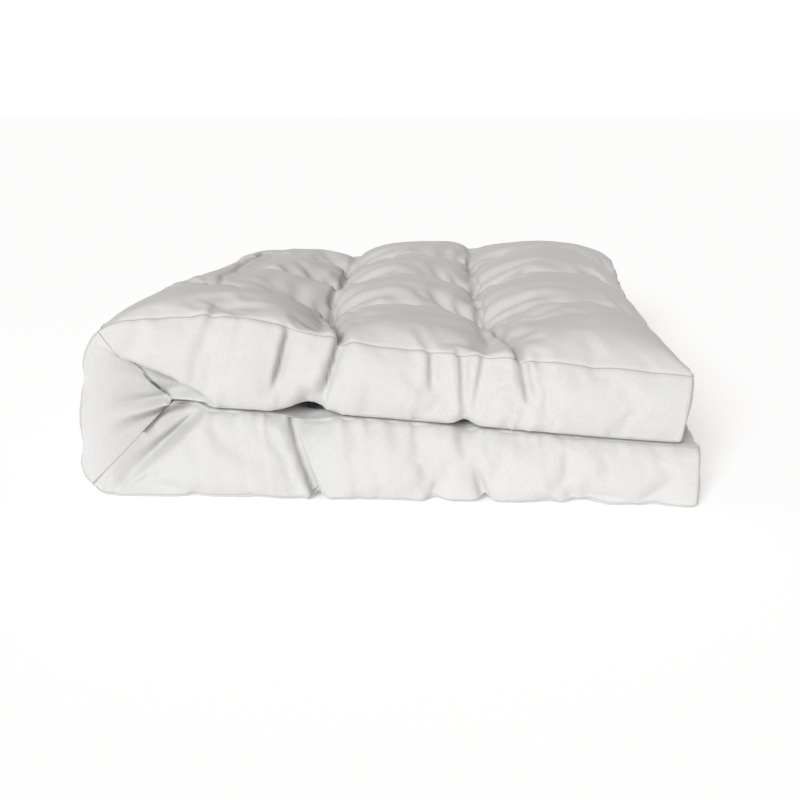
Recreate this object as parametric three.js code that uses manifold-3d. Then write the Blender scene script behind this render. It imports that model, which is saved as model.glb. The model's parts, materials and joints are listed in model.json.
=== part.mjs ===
// A tufted cotton futon mattress, folded once across its middle and lying on its lower half.
//
// The mattress comes apart as a sewn twill cover (panels and borders), carded cotton layers and
// the cord ties that pull the cover down through the cotton. Folding divides it into three stiff
// stretches: the lower half, the upper half, and the wedge of the fold that stands between them.
// The wedge turns about the outer bottom corner of the fold, and the upper half about its outer
// top corner, so that both turned through their full range lay the whole mattress flat.
//
// Millimetres, +Z up. +X runs from the fold towards the two free ends, +Y towards the back.
// The origin is on the floor, under the middle of the folded mattress.

import * as THREE from "three";
import { mergeVertices } from "three/addons/utils/BufferGeometryUtils.js";
import Module from "manifold-3d";

// Driving dimensions
const WIDTH = 900; // across the mattress, along Y
const LOWER_LENGTH = 894; // outer face of the lower half, from the fold's corner to its free end
const UPPER_LENGTH = 866; // the same for the upper half: the fold is a little off the middle
const FOLD_THICKNESS = 136; // of a half, where it meets the fold
const TAPER = THREE.MathUtils.degToRad(2.7); // a half thins by this angle towards its free end

const CLOTH = 1.2; // cover thickness
const LAYER_GAP = 0.4; // between neighbouring layers
const MITRE_GAP = 0.7; // between a layer's mitred end and the fold line
const CREASE_GAP = 1.5; // between a half's inner face and the plane where the halves meet
const COTTON_LAYERS = 4; // in each half
const WEDGE_LAYERS = 3;
const WEDGE_BLUNT = 18; // the wedge's inner edge stops this far short of the crease

// Tufts: rows run across the mattress, and each row has the same columns
const TUFT_ROWS = [160, 340, 574]; // distance from the fold's corner, along a half
const TUFT_COLUMNS = [-225, 0, 225];
const TUFT_REACH = 70; // how far the cloth slopes down towards a tuft
const OUTER_DIMPLE = 28; // depth of a tuft in the outer face
const INNER_DIMPLE = 26; // depth of a tuft in the inner face
const CREASE_DIMPLE = 15; // the same in the row beside the crease, where the face is pressed flat
const FOLD_DIMPLE = 14; // a tuft's depth on the wedge, where the cover is drawn tight
const ROW_VALLEY = 8; // depth of the channel along a row, between tufts
const CORD_RADIUS = 1.6;
const CORD_HOLE = 3.2; // radius of the way for a cord through cloth and cotton
const KNOT_RADIUS = 4.5;
const KNOT_HEIGHT = 8;
const KNOT_LIFT = 3; // a knot stands this far off the bottom of its dimple
const ROUND_SIDES = 6;

// What follows from them
const HALF_WIDTH = WIDTH / 2;
const PANEL_EDGE = HALF_WIDTH - CLOTH - LAYER_GAP;
const FLOOR_CORNER = new THREE.Vector3(-LOWER_LENGTH / 2, 0, 0);
const CREASE = new THREE.Vector3(FLOOR_CORNER.x + FOLD_THICKNESS, 0, FOLD_THICKNESS);
const MEETING_NORMAL = new THREE.Vector3(Math.sin(TAPER), 0, Math.cos(TAPER));
const MEETING_PLANE = new THREE.Plane().setFromNormalAndCoplanarPoint(MEETING_NORMAL, CREASE);
const TOP_CORNER = FLOOR_CORNER.clone().addScaledVector(
  MEETING_NORMAL,
  -2 * MEETING_PLANE.distanceToPoint(FLOOR_CORNER),
);
const WEDGE_BASE = FLOOR_CORNER.distanceTo(TOP_CORNER);
const WEDGE_HEIGHT = Math.sqrt(FLOOR_CORNER.distanceToSquared(CREASE) - (WEDGE_BASE / 2) ** 2);
const WEDGE_SLOPE = WEDGE_BASE / 2 / WEDGE_HEIGHT; // along the base, for each unit of height

const wasm = await Module();
wasm.setup();

/** A closed three.js geometry as a manifold-3d solid. */
function toSolid(geometry) {
  const bare = new THREE.BufferGeometry().setAttribute("position", geometry.getAttribute("position"));
  bare.setIndex(geometry.index);
  const merged = mergeVertices(bare, 1e-4);
  return new wasm.Manifold(
    new wasm.Mesh({
      numProp: 3,
      vertProperties: new Float32Array(merged.attributes.position.array),
      triVerts: new Uint32Array(merged.index.array),
    }),
  );
}

/** A manifold-3d solid as a three.js geometry. */
function toGeometry(solid) {
  const mesh = solid.getMesh();
  const geometry = new THREE.BufferGeometry();
  geometry.setAttribute("position", new THREE.BufferAttribute(mesh.vertProperties, 3));
  geometry.setIndex(new THREE.BufferAttribute(mesh.triVerts, 1));
  geometry.computeVertexNormals();
  return geometry;
}

/**
 * A slab between two surfaces on one grid of nodes. Both surfaces split their squares along the
 * same diagonal, so that neighbouring slabs keep the same gap all over.
 */
function slab(across, along, bottomAt, topAt) {
  const nodes = [];
  for (const surface of [bottomAt, topAt])
    for (let i = 0; i < along; i++)
      for (let j = 0; j < across; j++) nodes.push(...surface(i, j).toArray());
  const node = (side, i, j) => (side * along + i) * across + j;
  const faces = [];
  const square = (a, b, c, d) => faces.push(a, b, c, a, c, d);
  for (let i = 0; i < along - 1; i++)
    for (let j = 0; j < across - 1; j++) {
      square(node(1, i, j), node(1, i + 1, j), node(1, i + 1, j + 1), node(1, i, j + 1));
      faces.push(node(0, i, j), node(0, i + 1, j + 1), node(0, i + 1, j));
      faces.push(node(0, i, j), node(0, i, j + 1), node(0, i + 1, j + 1));
    }
  for (let i = 0; i < along - 1; i++) {
    square(node(0, i, 0), node(0, i + 1, 0), node(1, i + 1, 0), node(1, i, 0));
    const j = across - 1;
    square(node(0, i + 1, j), node(0, i, j), node(1, i, j), node(1, i + 1, j));
  }
  for (let j = 0; j < across - 1; j++) {
    square(node(0, 0, j + 1), node(0, 0, j), node(1, 0, j), node(1, 0, j + 1));
    const i = along - 1;
    square(node(0, i, j), node(0, i, j + 1), node(1, i, j + 1), node(1, i, j));
  }
  const geometry = new THREE.BufferGeometry();
  geometry.setAttribute("position", new THREE.Float32BufferAttribute(nodes, 3));
  geometry.setIndex(faces);
  return geometry;
}

/** The geometry with a way cut along Z for the cord of every tie. */
function withCordHoles(geometry, ties) {
  const tall = 4 * FOLD_THICKNESS;
  let solid = toSolid(geometry);
  for (const tie of ties) {
    const way = new THREE.CylinderGeometry(CORD_HOLE, CORD_HOLE, tall, ROUND_SIDES);
    way.rotateX(Math.PI / 2).translate(tie.along, tie.across, 0);
    solid = solid.subtract(toSolid(way));
  }
  return toGeometry(solid);
}

/** A flat outline of [along, inward] points, given a thickness across the mattress at one side. */
function borderGeometry(outline, side) {
  const shape = new THREE.Shape(outline.map(([along, inward]) => new THREE.Vector2(along, inward)));
  const strip = new THREE.ExtrudeGeometry(shape, { depth: CLOTH, bevelEnabled: false });
  strip.rotateX(Math.PI / 2);
  return strip.translate(0, side > 0 ? HALF_WIDTH : -HALF_WIDTH + CLOTH, 0);
}

/** A cord along Z with a knot beyond each end, from one dimple's bottom to the other's. */
function tieGeometry(tie) {
  const low = tie.from - KNOT_LIFT;
  const high = tie.to + KNOT_LIFT;
  const shoulder = KNOT_HEIGHT / 4;
  const profile = [
    [0, low - KNOT_HEIGHT],
    [KNOT_RADIUS, low - KNOT_HEIGHT + shoulder],
    [KNOT_RADIUS, low - shoulder],
    [CORD_RADIUS, low],
    [CORD_RADIUS, high],
    [KNOT_RADIUS, high + shoulder],
    [KNOT_RADIUS, high + KNOT_HEIGHT - shoulder],
    [0, high + KNOT_HEIGHT],
  ].map(([radius, height]) => new THREE.Vector2(radius, height));
  const tieShape = new THREE.LatheGeometry(profile, ROUND_SIDES);
  return tieShape.rotateX(Math.PI / 2).translate(tie.along, tie.across, 0);
}

/** Grid lines: both edges, and three lines for each tuft, the middle one through it. */
function gridLines(first, tufts, last) {
  const lines = [{ at: first, tuft: false, edge: true }];
  for (const tuft of tufts)
    for (const step of [-TUFT_REACH, 0, TUFT_REACH])
      lines.push({ at: tuft + step, tuft: step === 0, edge: false });
  lines.push({ at: last, tuft: false, edge: true });
  return lines;
}

/** Depth of a tuft in the inner face of a half, for a row at a distance from the fold's corner. */
function innerDimple(along) {
  return along === TUFT_ROWS[0] ? CREASE_DIMPLE : INNER_DIMPLE;
}

/** How far the cover dips at a crossing of two grid lines. */
function dipAt(rowLine, columnLine, dimple) {
  if (rowLine.tuft && columnLine.tuft) return dimple;
  // A channel ends before it reaches the seam of the border.
  return rowLine.tuft && !columnLine.edge ? Math.min(ROW_VALLEY, dimple) : 0;
}

const COLUMN_LINES = gridLines(-PANEL_EDGE, TUFT_COLUMNS, PANEL_EDGE);

/** Grid lines along a half: the row nearest the fold has no room for a line before it. */
function rowLines(length) {
  const lines = gridLines(0, TUFT_ROWS, length - CLOTH - LAYER_GAP);
  return lines.filter((line, index) => index !== 1);
}

/** Thickness of a half at a distance from the fold's corner. */
function thicknessAt(along) {
  const past = Math.max(0, along - FOLD_THICKNESS);
  return FOLD_THICKNESS - past * Math.tan(TAPER) - CREASE_GAP;
}

/** A node of a half's grid, at a share of the way from the outer face to the inner one. */
function halfNode(rows, i, j, share, offset) {
  const row = rows[i];
  const column = COLUMN_LINES[j];
  const outer = dipAt(row, column, OUTER_DIMPLE);
  const inner = thicknessAt(row.at) - dipAt(row, column, innerDimple(row.at));
  const inward = outer + share * (inner - outer) + offset;
  // The first line lies on the mitre, so it moves along the half as it moves inwards.
  const along = i === 0 ? inward + MITRE_GAP : row.at;
  return new THREE.Vector3(along, column.at, inward);
}

/** A node of the wedge's grid, at a share of the way from the outer face to the inner edge. */
function wedgeNode(i, j, share, offset) {
  const last = WEDGE_LINES.length - 1;
  const line = WEDGE_LINES[i];
  const outer = dipAt(line, COLUMN_LINES[j], FOLD_DIMPLE);
  const inner = WEDGE_HEIGHT - WEDGE_BLUNT;
  const inward = outer + share * (inner - outer) + offset;
  const margin = inward * WEDGE_SLOPE + MITRE_GAP;
  const along = margin + (i / last) * (WEDGE_BASE - 2 * margin);
  return new THREE.Vector3(along, COLUMN_LINES[j].at, inward);
}

const WEDGE_LINES = [false, false, true, false, false].map((tuft) => ({ tuft }));

const COTTON = { color: 0xe9e3d3, roughness: 1.0, metalness: 0.0 };
const TWILL = { color: 0xe8e5df, roughness: 0.9, metalness: 0.0 };
const CORD = { color: 0xdfd8c8, roughness: 0.85, metalness: 0.0 };

function piece(name, geometry, finish) {
  const mesh = new THREE.Mesh(geometry, new THREE.MeshStandardMaterial(finish));
  mesh.name = name;
  return mesh;
}

/** Outer panel, cotton layers and inner panel, stacked on one grid. */
function stack(name, group, nodeAt, along, layers, ties) {
  const across = COLUMN_LINES.length;
  const skin = CLOTH + LAYER_GAP;
  const sheet = (label, share, from, to, finish) => {
    const bottomAt = (i, j) => nodeAt(i, j, share, from);
    const topAt = (i, j) => nodeAt(i, j, share, to);
    const geometry = withCordHoles(slab(across, along, bottomAt, topAt), ties);
    group.add(piece(name + label, geometry, finish));
  };
  sheet("_outer_panel", 0, 0, CLOTH, TWILL);
  for (let k = 0; k < layers; k++) {
    const bottomAt = (i, j) => nodeAt(i, j, k / layers, k === 0 ? skin : LAYER_GAP / 2);
    const topAt = (i, j) =>
      nodeAt(i, j, (k + 1) / layers, k === layers - 1 ? -skin : -LAYER_GAP / 2);
    const geometry = withCordHoles(slab(across, along, bottomAt, topAt), ties);
    group.add(piece(name + "_cotton_layer_" + (k + 1), geometry, COTTON));
  }
  sheet("_inner_panel", 1, -CLOTH, 0, TWILL);
}

/** A half of the mattress, in its own frame: X along its outer face, Z inwards. */
function mattressHalf(name, length, frontSide) {
  const group = new THREE.Group();
  const ties = TUFT_ROWS.flatMap((along) =>
    TUFT_COLUMNS.map((across) => ({
      along,
      across,
      from: OUTER_DIMPLE,
      to: thicknessAt(along) - innerDimple(along),
    })),
  );
  const rows = rowLines(length);
  const nodeAt = (i, j, share, offset) => halfNode(rows, i, j, share, offset);
  stack(name, group, nodeAt, rows.length, COTTON_LAYERS, ties);

  const end = thicknessAt(length);
  const fold = thicknessAt(FOLD_THICKNESS);
  const edge = length - CLOTH - LAYER_GAP;
  const outline = [
    [MITRE_GAP, 0],
    [edge, 0],
    [edge, thicknessAt(edge)],
    [FOLD_THICKNESS + MITRE_GAP, fold],
    [fold + MITRE_GAP, fold],
  ];
  group.add(piece(name + "_front_border", borderGeometry(outline, frontSide), TWILL));
  group.add(piece(name + "_back_border", borderGeometry(outline, -frontSide), TWILL));
  const endBorder = new THREE.BoxGeometry(CLOTH, WIDTH, end);
  endBorder.translate(length - CLOTH / 2, 0, end / 2);
  group.add(piece(name + "_end_border", endBorder, TWILL));

  ties.forEach((tie, index) => {
    const row = TUFT_ROWS.length - Math.floor(index / TUFT_COLUMNS.length);
    const column = (index % TUFT_COLUMNS.length) + 1;
    const label = name + "_tuft_tie_row" + row + "_" + column;
    group.add(piece(label, tieGeometry(tie), CORD));
  });
  return group;
}

/** The wedge of the fold, in its own frame: X along its outer face, Z towards the crease. */
function foldWedge(frontSide) {
  const group = new THREE.Group();
  const inner = WEDGE_HEIGHT - WEDGE_BLUNT;
  const ties = TUFT_COLUMNS.map((across) => ({
    along: WEDGE_BASE / 2,
    across,
    from: FOLD_DIMPLE,
    to: inner,
  }));
  stack("fold", group, wedgeNode, WEDGE_LINES.length, WEDGE_LAYERS, ties);

  const margin = inner * WEDGE_SLOPE + MITRE_GAP;
  const outline = [
    [MITRE_GAP, 0],
    [WEDGE_BASE - MITRE_GAP, 0],
    [WEDGE_BASE - margin, inner],
    [margin, inner],
  ];
  group.add(piece("fold_front_border", borderGeometry(outline, frontSide), TWILL));
  group.add(piece("fold_back_border", borderGeometry(outline, -frontSide), TWILL));
  ties.forEach((tie, index) => {
    group.add(piece("fold_tuft_tie_" + (index + 1), tieGeometry(tie), CORD));
  });
  return group;
}

/** Turns and moves a group so that its X and Z run along the given directions. */
function place(group, origin, along, inward) {
  const across = new THREE.Vector3().crossVectors(inward, along);
  group.quaternion.setFromRotationMatrix(new THREE.Matrix4().makeBasis(along, across, inward));
  group.position.copy(origin);
  return group;
}

const topSlope = 2 * TAPER;
const upAlongFold = TOP_CORNER.clone().sub(FLOOR_CORNER).normalize();
const futon = new THREE.Group();
futon.add(
  place(
    mattressHalf("lower", LOWER_LENGTH, -1),
    FLOOR_CORNER,
    new THREE.Vector3(1, 0, 0),
    new THREE.Vector3(0, 0, 1),
  ),
  place(
    foldWedge(1),
    FLOOR_CORNER,
    upAlongFold,
    new THREE.Vector3(upAlongFold.z, 0, -upAlongFold.x),
  ),
  place(
    mattressHalf("upper", UPPER_LENGTH, 1),
    TOP_CORNER,
    new THREE.Vector3(Math.cos(topSlope), 0, -Math.sin(topSlope)),
    new THREE.Vector3(-Math.sin(topSlope), 0, -Math.cos(topSlope)),
  ),
);

export default futon;
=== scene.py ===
"""A tufted cotton futon mattress, folded once across its middle.

The cover is one closed skin, laid out over the folded body, swollen by a cloth simulation and
then cut at its seams and creases into the sewn pieces. Each panel and border rides on the stiff
stretch of mattress that it covers, and a band of cover lies at each crease of the fold.
"""

import json
import logging
import math
from dataclasses import dataclass, field
from enum import Enum

import bmesh
import bpy
import numpy as np
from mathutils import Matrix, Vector


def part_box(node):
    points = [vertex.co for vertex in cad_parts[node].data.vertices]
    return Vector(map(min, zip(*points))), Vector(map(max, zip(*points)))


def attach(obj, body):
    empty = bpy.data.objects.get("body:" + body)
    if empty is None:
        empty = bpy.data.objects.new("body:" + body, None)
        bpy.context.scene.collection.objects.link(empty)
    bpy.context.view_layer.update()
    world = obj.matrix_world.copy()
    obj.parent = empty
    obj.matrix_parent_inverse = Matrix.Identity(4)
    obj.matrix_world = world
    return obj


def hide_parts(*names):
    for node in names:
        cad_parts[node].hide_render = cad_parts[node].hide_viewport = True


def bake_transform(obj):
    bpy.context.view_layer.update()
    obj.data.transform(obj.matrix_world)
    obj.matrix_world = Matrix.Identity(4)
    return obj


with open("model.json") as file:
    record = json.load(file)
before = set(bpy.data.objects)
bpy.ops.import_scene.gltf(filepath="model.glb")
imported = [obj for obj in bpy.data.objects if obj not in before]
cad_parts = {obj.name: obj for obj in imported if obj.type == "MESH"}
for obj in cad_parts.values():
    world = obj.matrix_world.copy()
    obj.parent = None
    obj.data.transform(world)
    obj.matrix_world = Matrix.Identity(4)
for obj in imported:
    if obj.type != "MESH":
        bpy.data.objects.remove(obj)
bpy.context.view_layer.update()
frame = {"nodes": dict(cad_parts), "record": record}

LOG = logging.getLogger("futon")
Array = np.ndarray


# ---------------------------------------------------------------------------------------------
# Dimensions, in metres
# ---------------------------------------------------------------------------------------------


@dataclass(frozen=True)
class Edge:
    """How the outer panel of a half turns down to its seams."""

    side_drop: float
    side_reach: float
    end_drop: float
    end_reach: float


# The lower half's edges are pressed to the floor, and the upper half's are free.
EDGES = {"lower": Edge(0.005, 0.030, 0.006, 0.030), "upper": Edge(0.016, 0.075, 0.010, 0.055)}


@dataclass(frozen=True)
class CoverSettings:
    """Sizes of the cover and of its relief."""

    cell: float = 0.0085
    border_rows: int = 15
    band_width: float = 0.0012
    band_columns: int = 14
    floor_corner_radius: float = 0.055
    top_corner_radius: float = 0.085
    inner_seam_drop: float = 0.001
    seam_inset: float = 0.010
    floor_seam_inset: float = 0.002
    lower_inner_inset: float = 0.017
    upper_inner_inset: float = 0.008
    end_inset: float = 0.006
    tuft_depth: float = 0.058
    fold_tuft_depth: float = 0.024
    tuft_spread: float = 0.031
    row_valley: float = 0.018
    row_valley_width: float = 0.024
    column_valley: float = 0.007
    column_valley_width: float = 0.026
    row_shares: tuple[float, ...] = (0.35, 1.0, 1.0)
    thickness: float = 0.0012
    fan_start: float = 0.30


@dataclass(frozen=True)
class Lips:
    """The rounded edges of the borders that close over the crease at each end of the fold.

    Points of the XZ plane, from the corner of the fold on the floor.
    """

    upper_from: tuple[float, float] = (0.029, 0.233)
    upper_to: tuple[float, float] = (0.204, 0.1415)
    lower_from: tuple[float, float] = (0.056, 0.010)
    lower_to: tuple[float, float] = (0.204, 0.1415)
    softness: float = 0.009
    step: float = 0.013
    step_softness: float = 0.0045
    shallow: float = 0.005
    deep: float = 0.052
    deep_from: float = 0.045
    closes_from: float = 0.150
    closed_share: float = 0.72
    reach: float = 0.190
    pleat: float = 0.0072
    turned_share: float = 0.8


@dataclass(frozen=True)
class Settling:
    """How the folded mattress has settled out of square."""

    back_sink: float = 0.134
    sink_at_front: float = 0.12
    sink_per_metre: float = 1.0
    half_sink: float = 0.108
    corner_reach: float = 0.30
    half_reach: float = 0.72
    hump: float = 0.030
    hump_at: float = 0.215
    hump_width: float = 0.125
    hump_reach: float = 0.24
    end_swing: float = 0.013
    back_slip: float = 0.022
    meeting_sag: float = 0.011
    sag_from: float = 0.36
    sag_to: float = 0.86

    def meeting_drop(self, along: Array) -> Array:
        """How far the face where the halves meet sags, at distances from the fold."""
        return self.meeting_sag * smooth((along - self.sag_from) / (self.sag_to - self.sag_from))


@dataclass(frozen=True)
class Gather:
    """A crease of the cover from a tuft over the seam and down the border.

    Distances along the half are given inside the panel, at the seam and on the border; the first
    and last also have a distance from the seam, less than 0 on the panel.
    """

    half: str
    along: tuple[float, float, float]
    start: float
    stop: float
    depth: float
    width: float
    lip: float = 0.0

    def amount(self, along: Array, past: Array, width: float = 0.0) -> tuple[Array, Array]:
        """How much the cover sinks, and how much it stands up in a lip beside the crease.

        Args:
            along: Distances along the half.
            past: Distances inwards from the outer panel.
            width: Of the crease.

        Returns:
            The sinking, and the height of the lip.
        """
        width = width or self.width
        line = np.interp(past, (self.start, 0.0, self.stop), self.along)
        fade = smooth((past - self.start) / 0.03) * smooth((self.stop - past) / 0.03)
        away = along - line
        return fade * bump(away, width), fade * bump(away + 1.6 * width, width)


@dataclass(frozen=True)
class Notch:
    """A place on the inner seam where the two halves stand apart at the front."""

    along: float
    drop: float
    inset: float
    width: float


GATHERS = (
    Gather("upper", (0.338, 0.374, 0.350), -0.20, 0.118, 0.015, 0.0085, 0.008),
    Gather("upper", (0.580, 0.622, 0.644), -0.20, 0.085, 0.013, 0.0085, 0.006),
    Gather("upper", (0.300, 0.300, 0.284), -0.01, 0.100, 0.012, 0.008, 0.004),
    Gather("upper", (0.490, 0.498, 0.508), -0.02, 0.080, 0.010, 0.007, 0.003),
    Gather("upper", (0.536, 0.540, 0.556), -0.02, 0.112, 0.011, 0.007, 0.003),
    Gather("upper", (0.574, 0.574, 0.566), -0.02, 0.110, 0.009, 0.007, 0.003),
    Gather("upper", (0.196, 0.190, 0.182), -0.05, 0.030, 0.004, 0.009, 0.003),
    Gather("lower", (0.346, 0.346, 0.302), -0.12, 0.140, 0.015, 0.009, 0.006),
    Gather("lower", (0.512, 0.512, 0.520), -0.03, 0.045, 0.009, 0.009, 0.002),
    Gather("lower", (0.588, 0.588, 0.570), -0.10, 0.060, 0.010, 0.010, 0.002),
    Gather("lower", (0.712, 0.712, 0.705), -0.03, 0.035, 0.006, 0.010, 0.002),
)
NOTCHES = (Notch(0.335, 0.013, 0.016, 0.030), Notch(0.556, 0.008, 0.008, 0.011))


@dataclass(frozen=True)
class ClothSettings:
    """How the skin is swollen."""

    frames: int = 22
    quality: int = 5
    pressure: float = 3.2
    mass: float = 0.3
    tension: float = 12.0
    bending: float = 0.2
    spare_cloth: float = -0.045
    cap: float = 0.040


class Side(Enum):
    """The two long sides of the mattress."""

    FRONT = -1.0
    BACK = 1.0


@dataclass(frozen=True)
class FaceFrame:
    """A stiff stretch of mattress, seen from the front: along its outer face, and inwards."""

    origin: Array
    along: Array
    inward: Array

    def point(self, along: Array, inward: Array) -> Array:
        """Points of the XZ plane.

        Args:
            along: Distances along the outer face.
            inward: Distances in from it.

        Returns:
            An array with a last axis of X and Z.
        """
        a = np.asarray(along)[..., None]
        h = np.asarray(inward)[..., None]
        return self.origin + a * self.along + h * self.inward


@dataclass(frozen=True)
class Layout:
    """Where the fold, the halves and the tufts are, read from the CAD frame."""

    lower: FaceFrame
    upper: FaceFrame
    fold: FaceFrame
    lower_length: float
    upper_length: float
    fold_length: float
    fold_height: float
    thickness: float
    taper: float
    half_width: float
    rows: tuple[float, ...]
    columns: tuple[float, ...]

    @classmethod
    def read(cls) -> "Layout":
        """Works the layout out from the joints and from the boxes of the nodes.

        Returns:
            The layout.
        """
        joints = {j["name"]: j for j in frame["record"]["behaviour"]["joints"]}
        floor_at = np.array(joints["lower_fold"]["pos_m"])[[0, 2]]
        top_at = np.array(joints["upper_fold"]["pos_m"])[[0, 2]]
        rise = (top_at - floor_at) / np.linalg.norm(top_at - floor_at)
        taper = math.atan2(rise[0], rise[1])
        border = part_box("lower_front_border")
        thickness = border[1][2] + 0.0015
        crease = floor_at + thickness
        middle = (floor_at + top_at) / 2
        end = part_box("lower_end_border")
        upper_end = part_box("upper_end_border")
        down = np.array([math.cos(2 * taper), -math.sin(2 * taper)])
        rows = []
        for row in (3, 2, 1):
            low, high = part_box(f"lower_tuft_tie_row{row}_1")
            rows.append((low[0] + high[0]) / 2 - floor_at[0])
        columns = []
        for column in (1, 2, 3):
            low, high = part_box(f"lower_tuft_tie_row1_{column}")
            columns.append((low[1] + high[1]) / 2)
        return cls(
            lower=FaceFrame(floor_at, np.array([1.0, 0.0]), np.array([0.0, 1.0])),
            upper=FaceFrame(top_at, down, np.array([down[1], -down[0]])),
            fold=FaceFrame(floor_at, rise, np.array([rise[1], -rise[0]])),
            lower_length=end[1][0] - floor_at[0],
            upper_length=float((np.array([upper_end[1][0], upper_end[1][2]]) - top_at) @ down),
            fold_length=float(np.linalg.norm(top_at - floor_at)),
            fold_height=float(np.linalg.norm(crease - middle)),
            thickness=thickness,
            taper=taper,
            half_width=end[1][1],
            rows=tuple(rows),
            columns=tuple(sorted(columns)),
        )

    def thickness_at(self, along: Array) -> Array:
        """Thickness of a half at distances from its corner."""
        past = np.maximum(0.0, np.asarray(along) - self.thickness)
        return self.thickness - past * math.tan(self.taper) - 0.0015



# ---------------------------------------------------------------------------------------------
# The skin: one closed grid of quads over the folded mattress
# ---------------------------------------------------------------------------------------------


def smooth(t: Array) -> Array:
    """A smooth step from 0 to 1, for t from 0 to 1 and held beyond."""
    t = np.clip(t, 0.0, 1.0)
    return t * t * (3.0 - 2.0 * t)


def bump(distance: Array, width: float) -> Array:
    """A rounded bump of height 1 at distance 0, gone at about twice its width."""
    return np.exp(-((np.asarray(distance) / width) ** 2))


@dataclass
class Patch:
    """One sewn piece of the skin, as a grid of points."""

    name: str
    shape: Array
    rest: Array
    pin: Array
    flipped: bool

    def laid_flat(self) -> Array:
        """Distances along the cloth, in metres, for the weave to follow.

        Returns:
            Two distances for every point.
        """
        rows = np.linalg.norm(np.diff(self.rest, axis=0), axis=-1).mean(axis=1)
        columns = np.linalg.norm(np.diff(self.rest, axis=1), axis=-1).mean(axis=0)
        down = np.concatenate([[0.0], np.cumsum(rows)])
        over = np.concatenate([[0.0], np.cumsum(columns)])
        return np.stack(np.broadcast_arrays(down[:, None], over[None, :]), axis=-1)


@dataclass
class Skin:
    """The welded skin."""

    patches: list[Patch] = field(default_factory=list)

    def add(self, name: str, shape: Array, rest: Array, pin: Array, flip: bool) -> None:
        """Adds a grid of points.

        Args:
            name: The sewn piece that it belongs to.
            shape: Starting points, as rows by columns by XYZ.
            rest: The same points on cloth lying without dimples.
            pin: How firmly each point is held, from 0 to 1.
            flip: True if the faces would point inwards.
        """
        if flip:
            shape, rest, pin = shape[:, ::-1], rest[:, ::-1], pin[:, ::-1]
        self.patches.append(Patch(name, shape, rest, pin, flip))

    def weld(self) -> "Welded":
        """Joins the patches along their common edges.

        Returns:
            The closed skin.
        """
        points = np.concatenate([p.shape.reshape(-1, 3) for p in self.patches])
        rest = np.concatenate([p.rest.reshape(-1, 3) for p in self.patches])
        pins = np.concatenate([p.pin.reshape(-1) for p in self.patches])
        keys = np.round(points / WELD).astype(np.int64)
        _, first, back = np.unique(keys, axis=0, return_index=True, return_inverse=True)
        back = back.reshape(-1)
        strongest = np.zeros(len(first))
        np.maximum.at(strongest, back, pins)
        quads, owner, cloth, grids, base = [], [], [], {}, 0
        for index, patch in enumerate(self.patches):
            rows, columns = patch.pin.shape
            at = back[np.arange(rows * columns).reshape(rows, columns) + base]
            quads.append(corners_of(at[..., None])[..., 0])
            owner.append(np.full((rows - 1) * (columns - 1), index))
            cloth.append(corners_of(patch.laid_flat()))
            grids[patch.name] = at[:, ::-1] if patch.flipped else at
            base += rows * columns
        names = [p.name for p in self.patches]
        return Welded(
            points[first],
            rest[first],
            strongest,
            np.concatenate(quads),
            np.concatenate(owner),
            np.concatenate(cloth),
            names,
            grids,
        )


@dataclass
class Welded:
    """A skin with shared points."""

    points: Array
    rest: Array
    pins: Array
    quads: Array
    owner: Array
    cloth: Array
    names: list[str]
    grids: dict[str, Array]


WELD = 2e-5


def corners_of(grid: Array) -> Array:
    """Values at the four corners of each cell of a grid, as cells by corners by values."""
    cells = np.stack([grid[:-1, :-1], grid[:-1, 1:], grid[1:, 1:], grid[1:, :-1]], axis=2)
    return cells.reshape(-1, 4, grid.shape[-1])


@dataclass(frozen=True)
class Crease:
    """The corner of the fold where a half meets the wedge."""

    hinge: Array
    inwards: Array
    towards_fold: Array

    def point(self, reach: Array, off: Array) -> Array:
        """Points at distances from the hinge along the mitre, and off it towards the wedge.

        Args:
            reach: Distances along the mitre.
            off: Distances off it.

        Returns:
            Their x and z.
        """
        r = np.asarray(reach)[..., None]
        u = np.asarray(off)[..., None]
        return self.hinge + r * self.inwards + u * self.towards_fold


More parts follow.
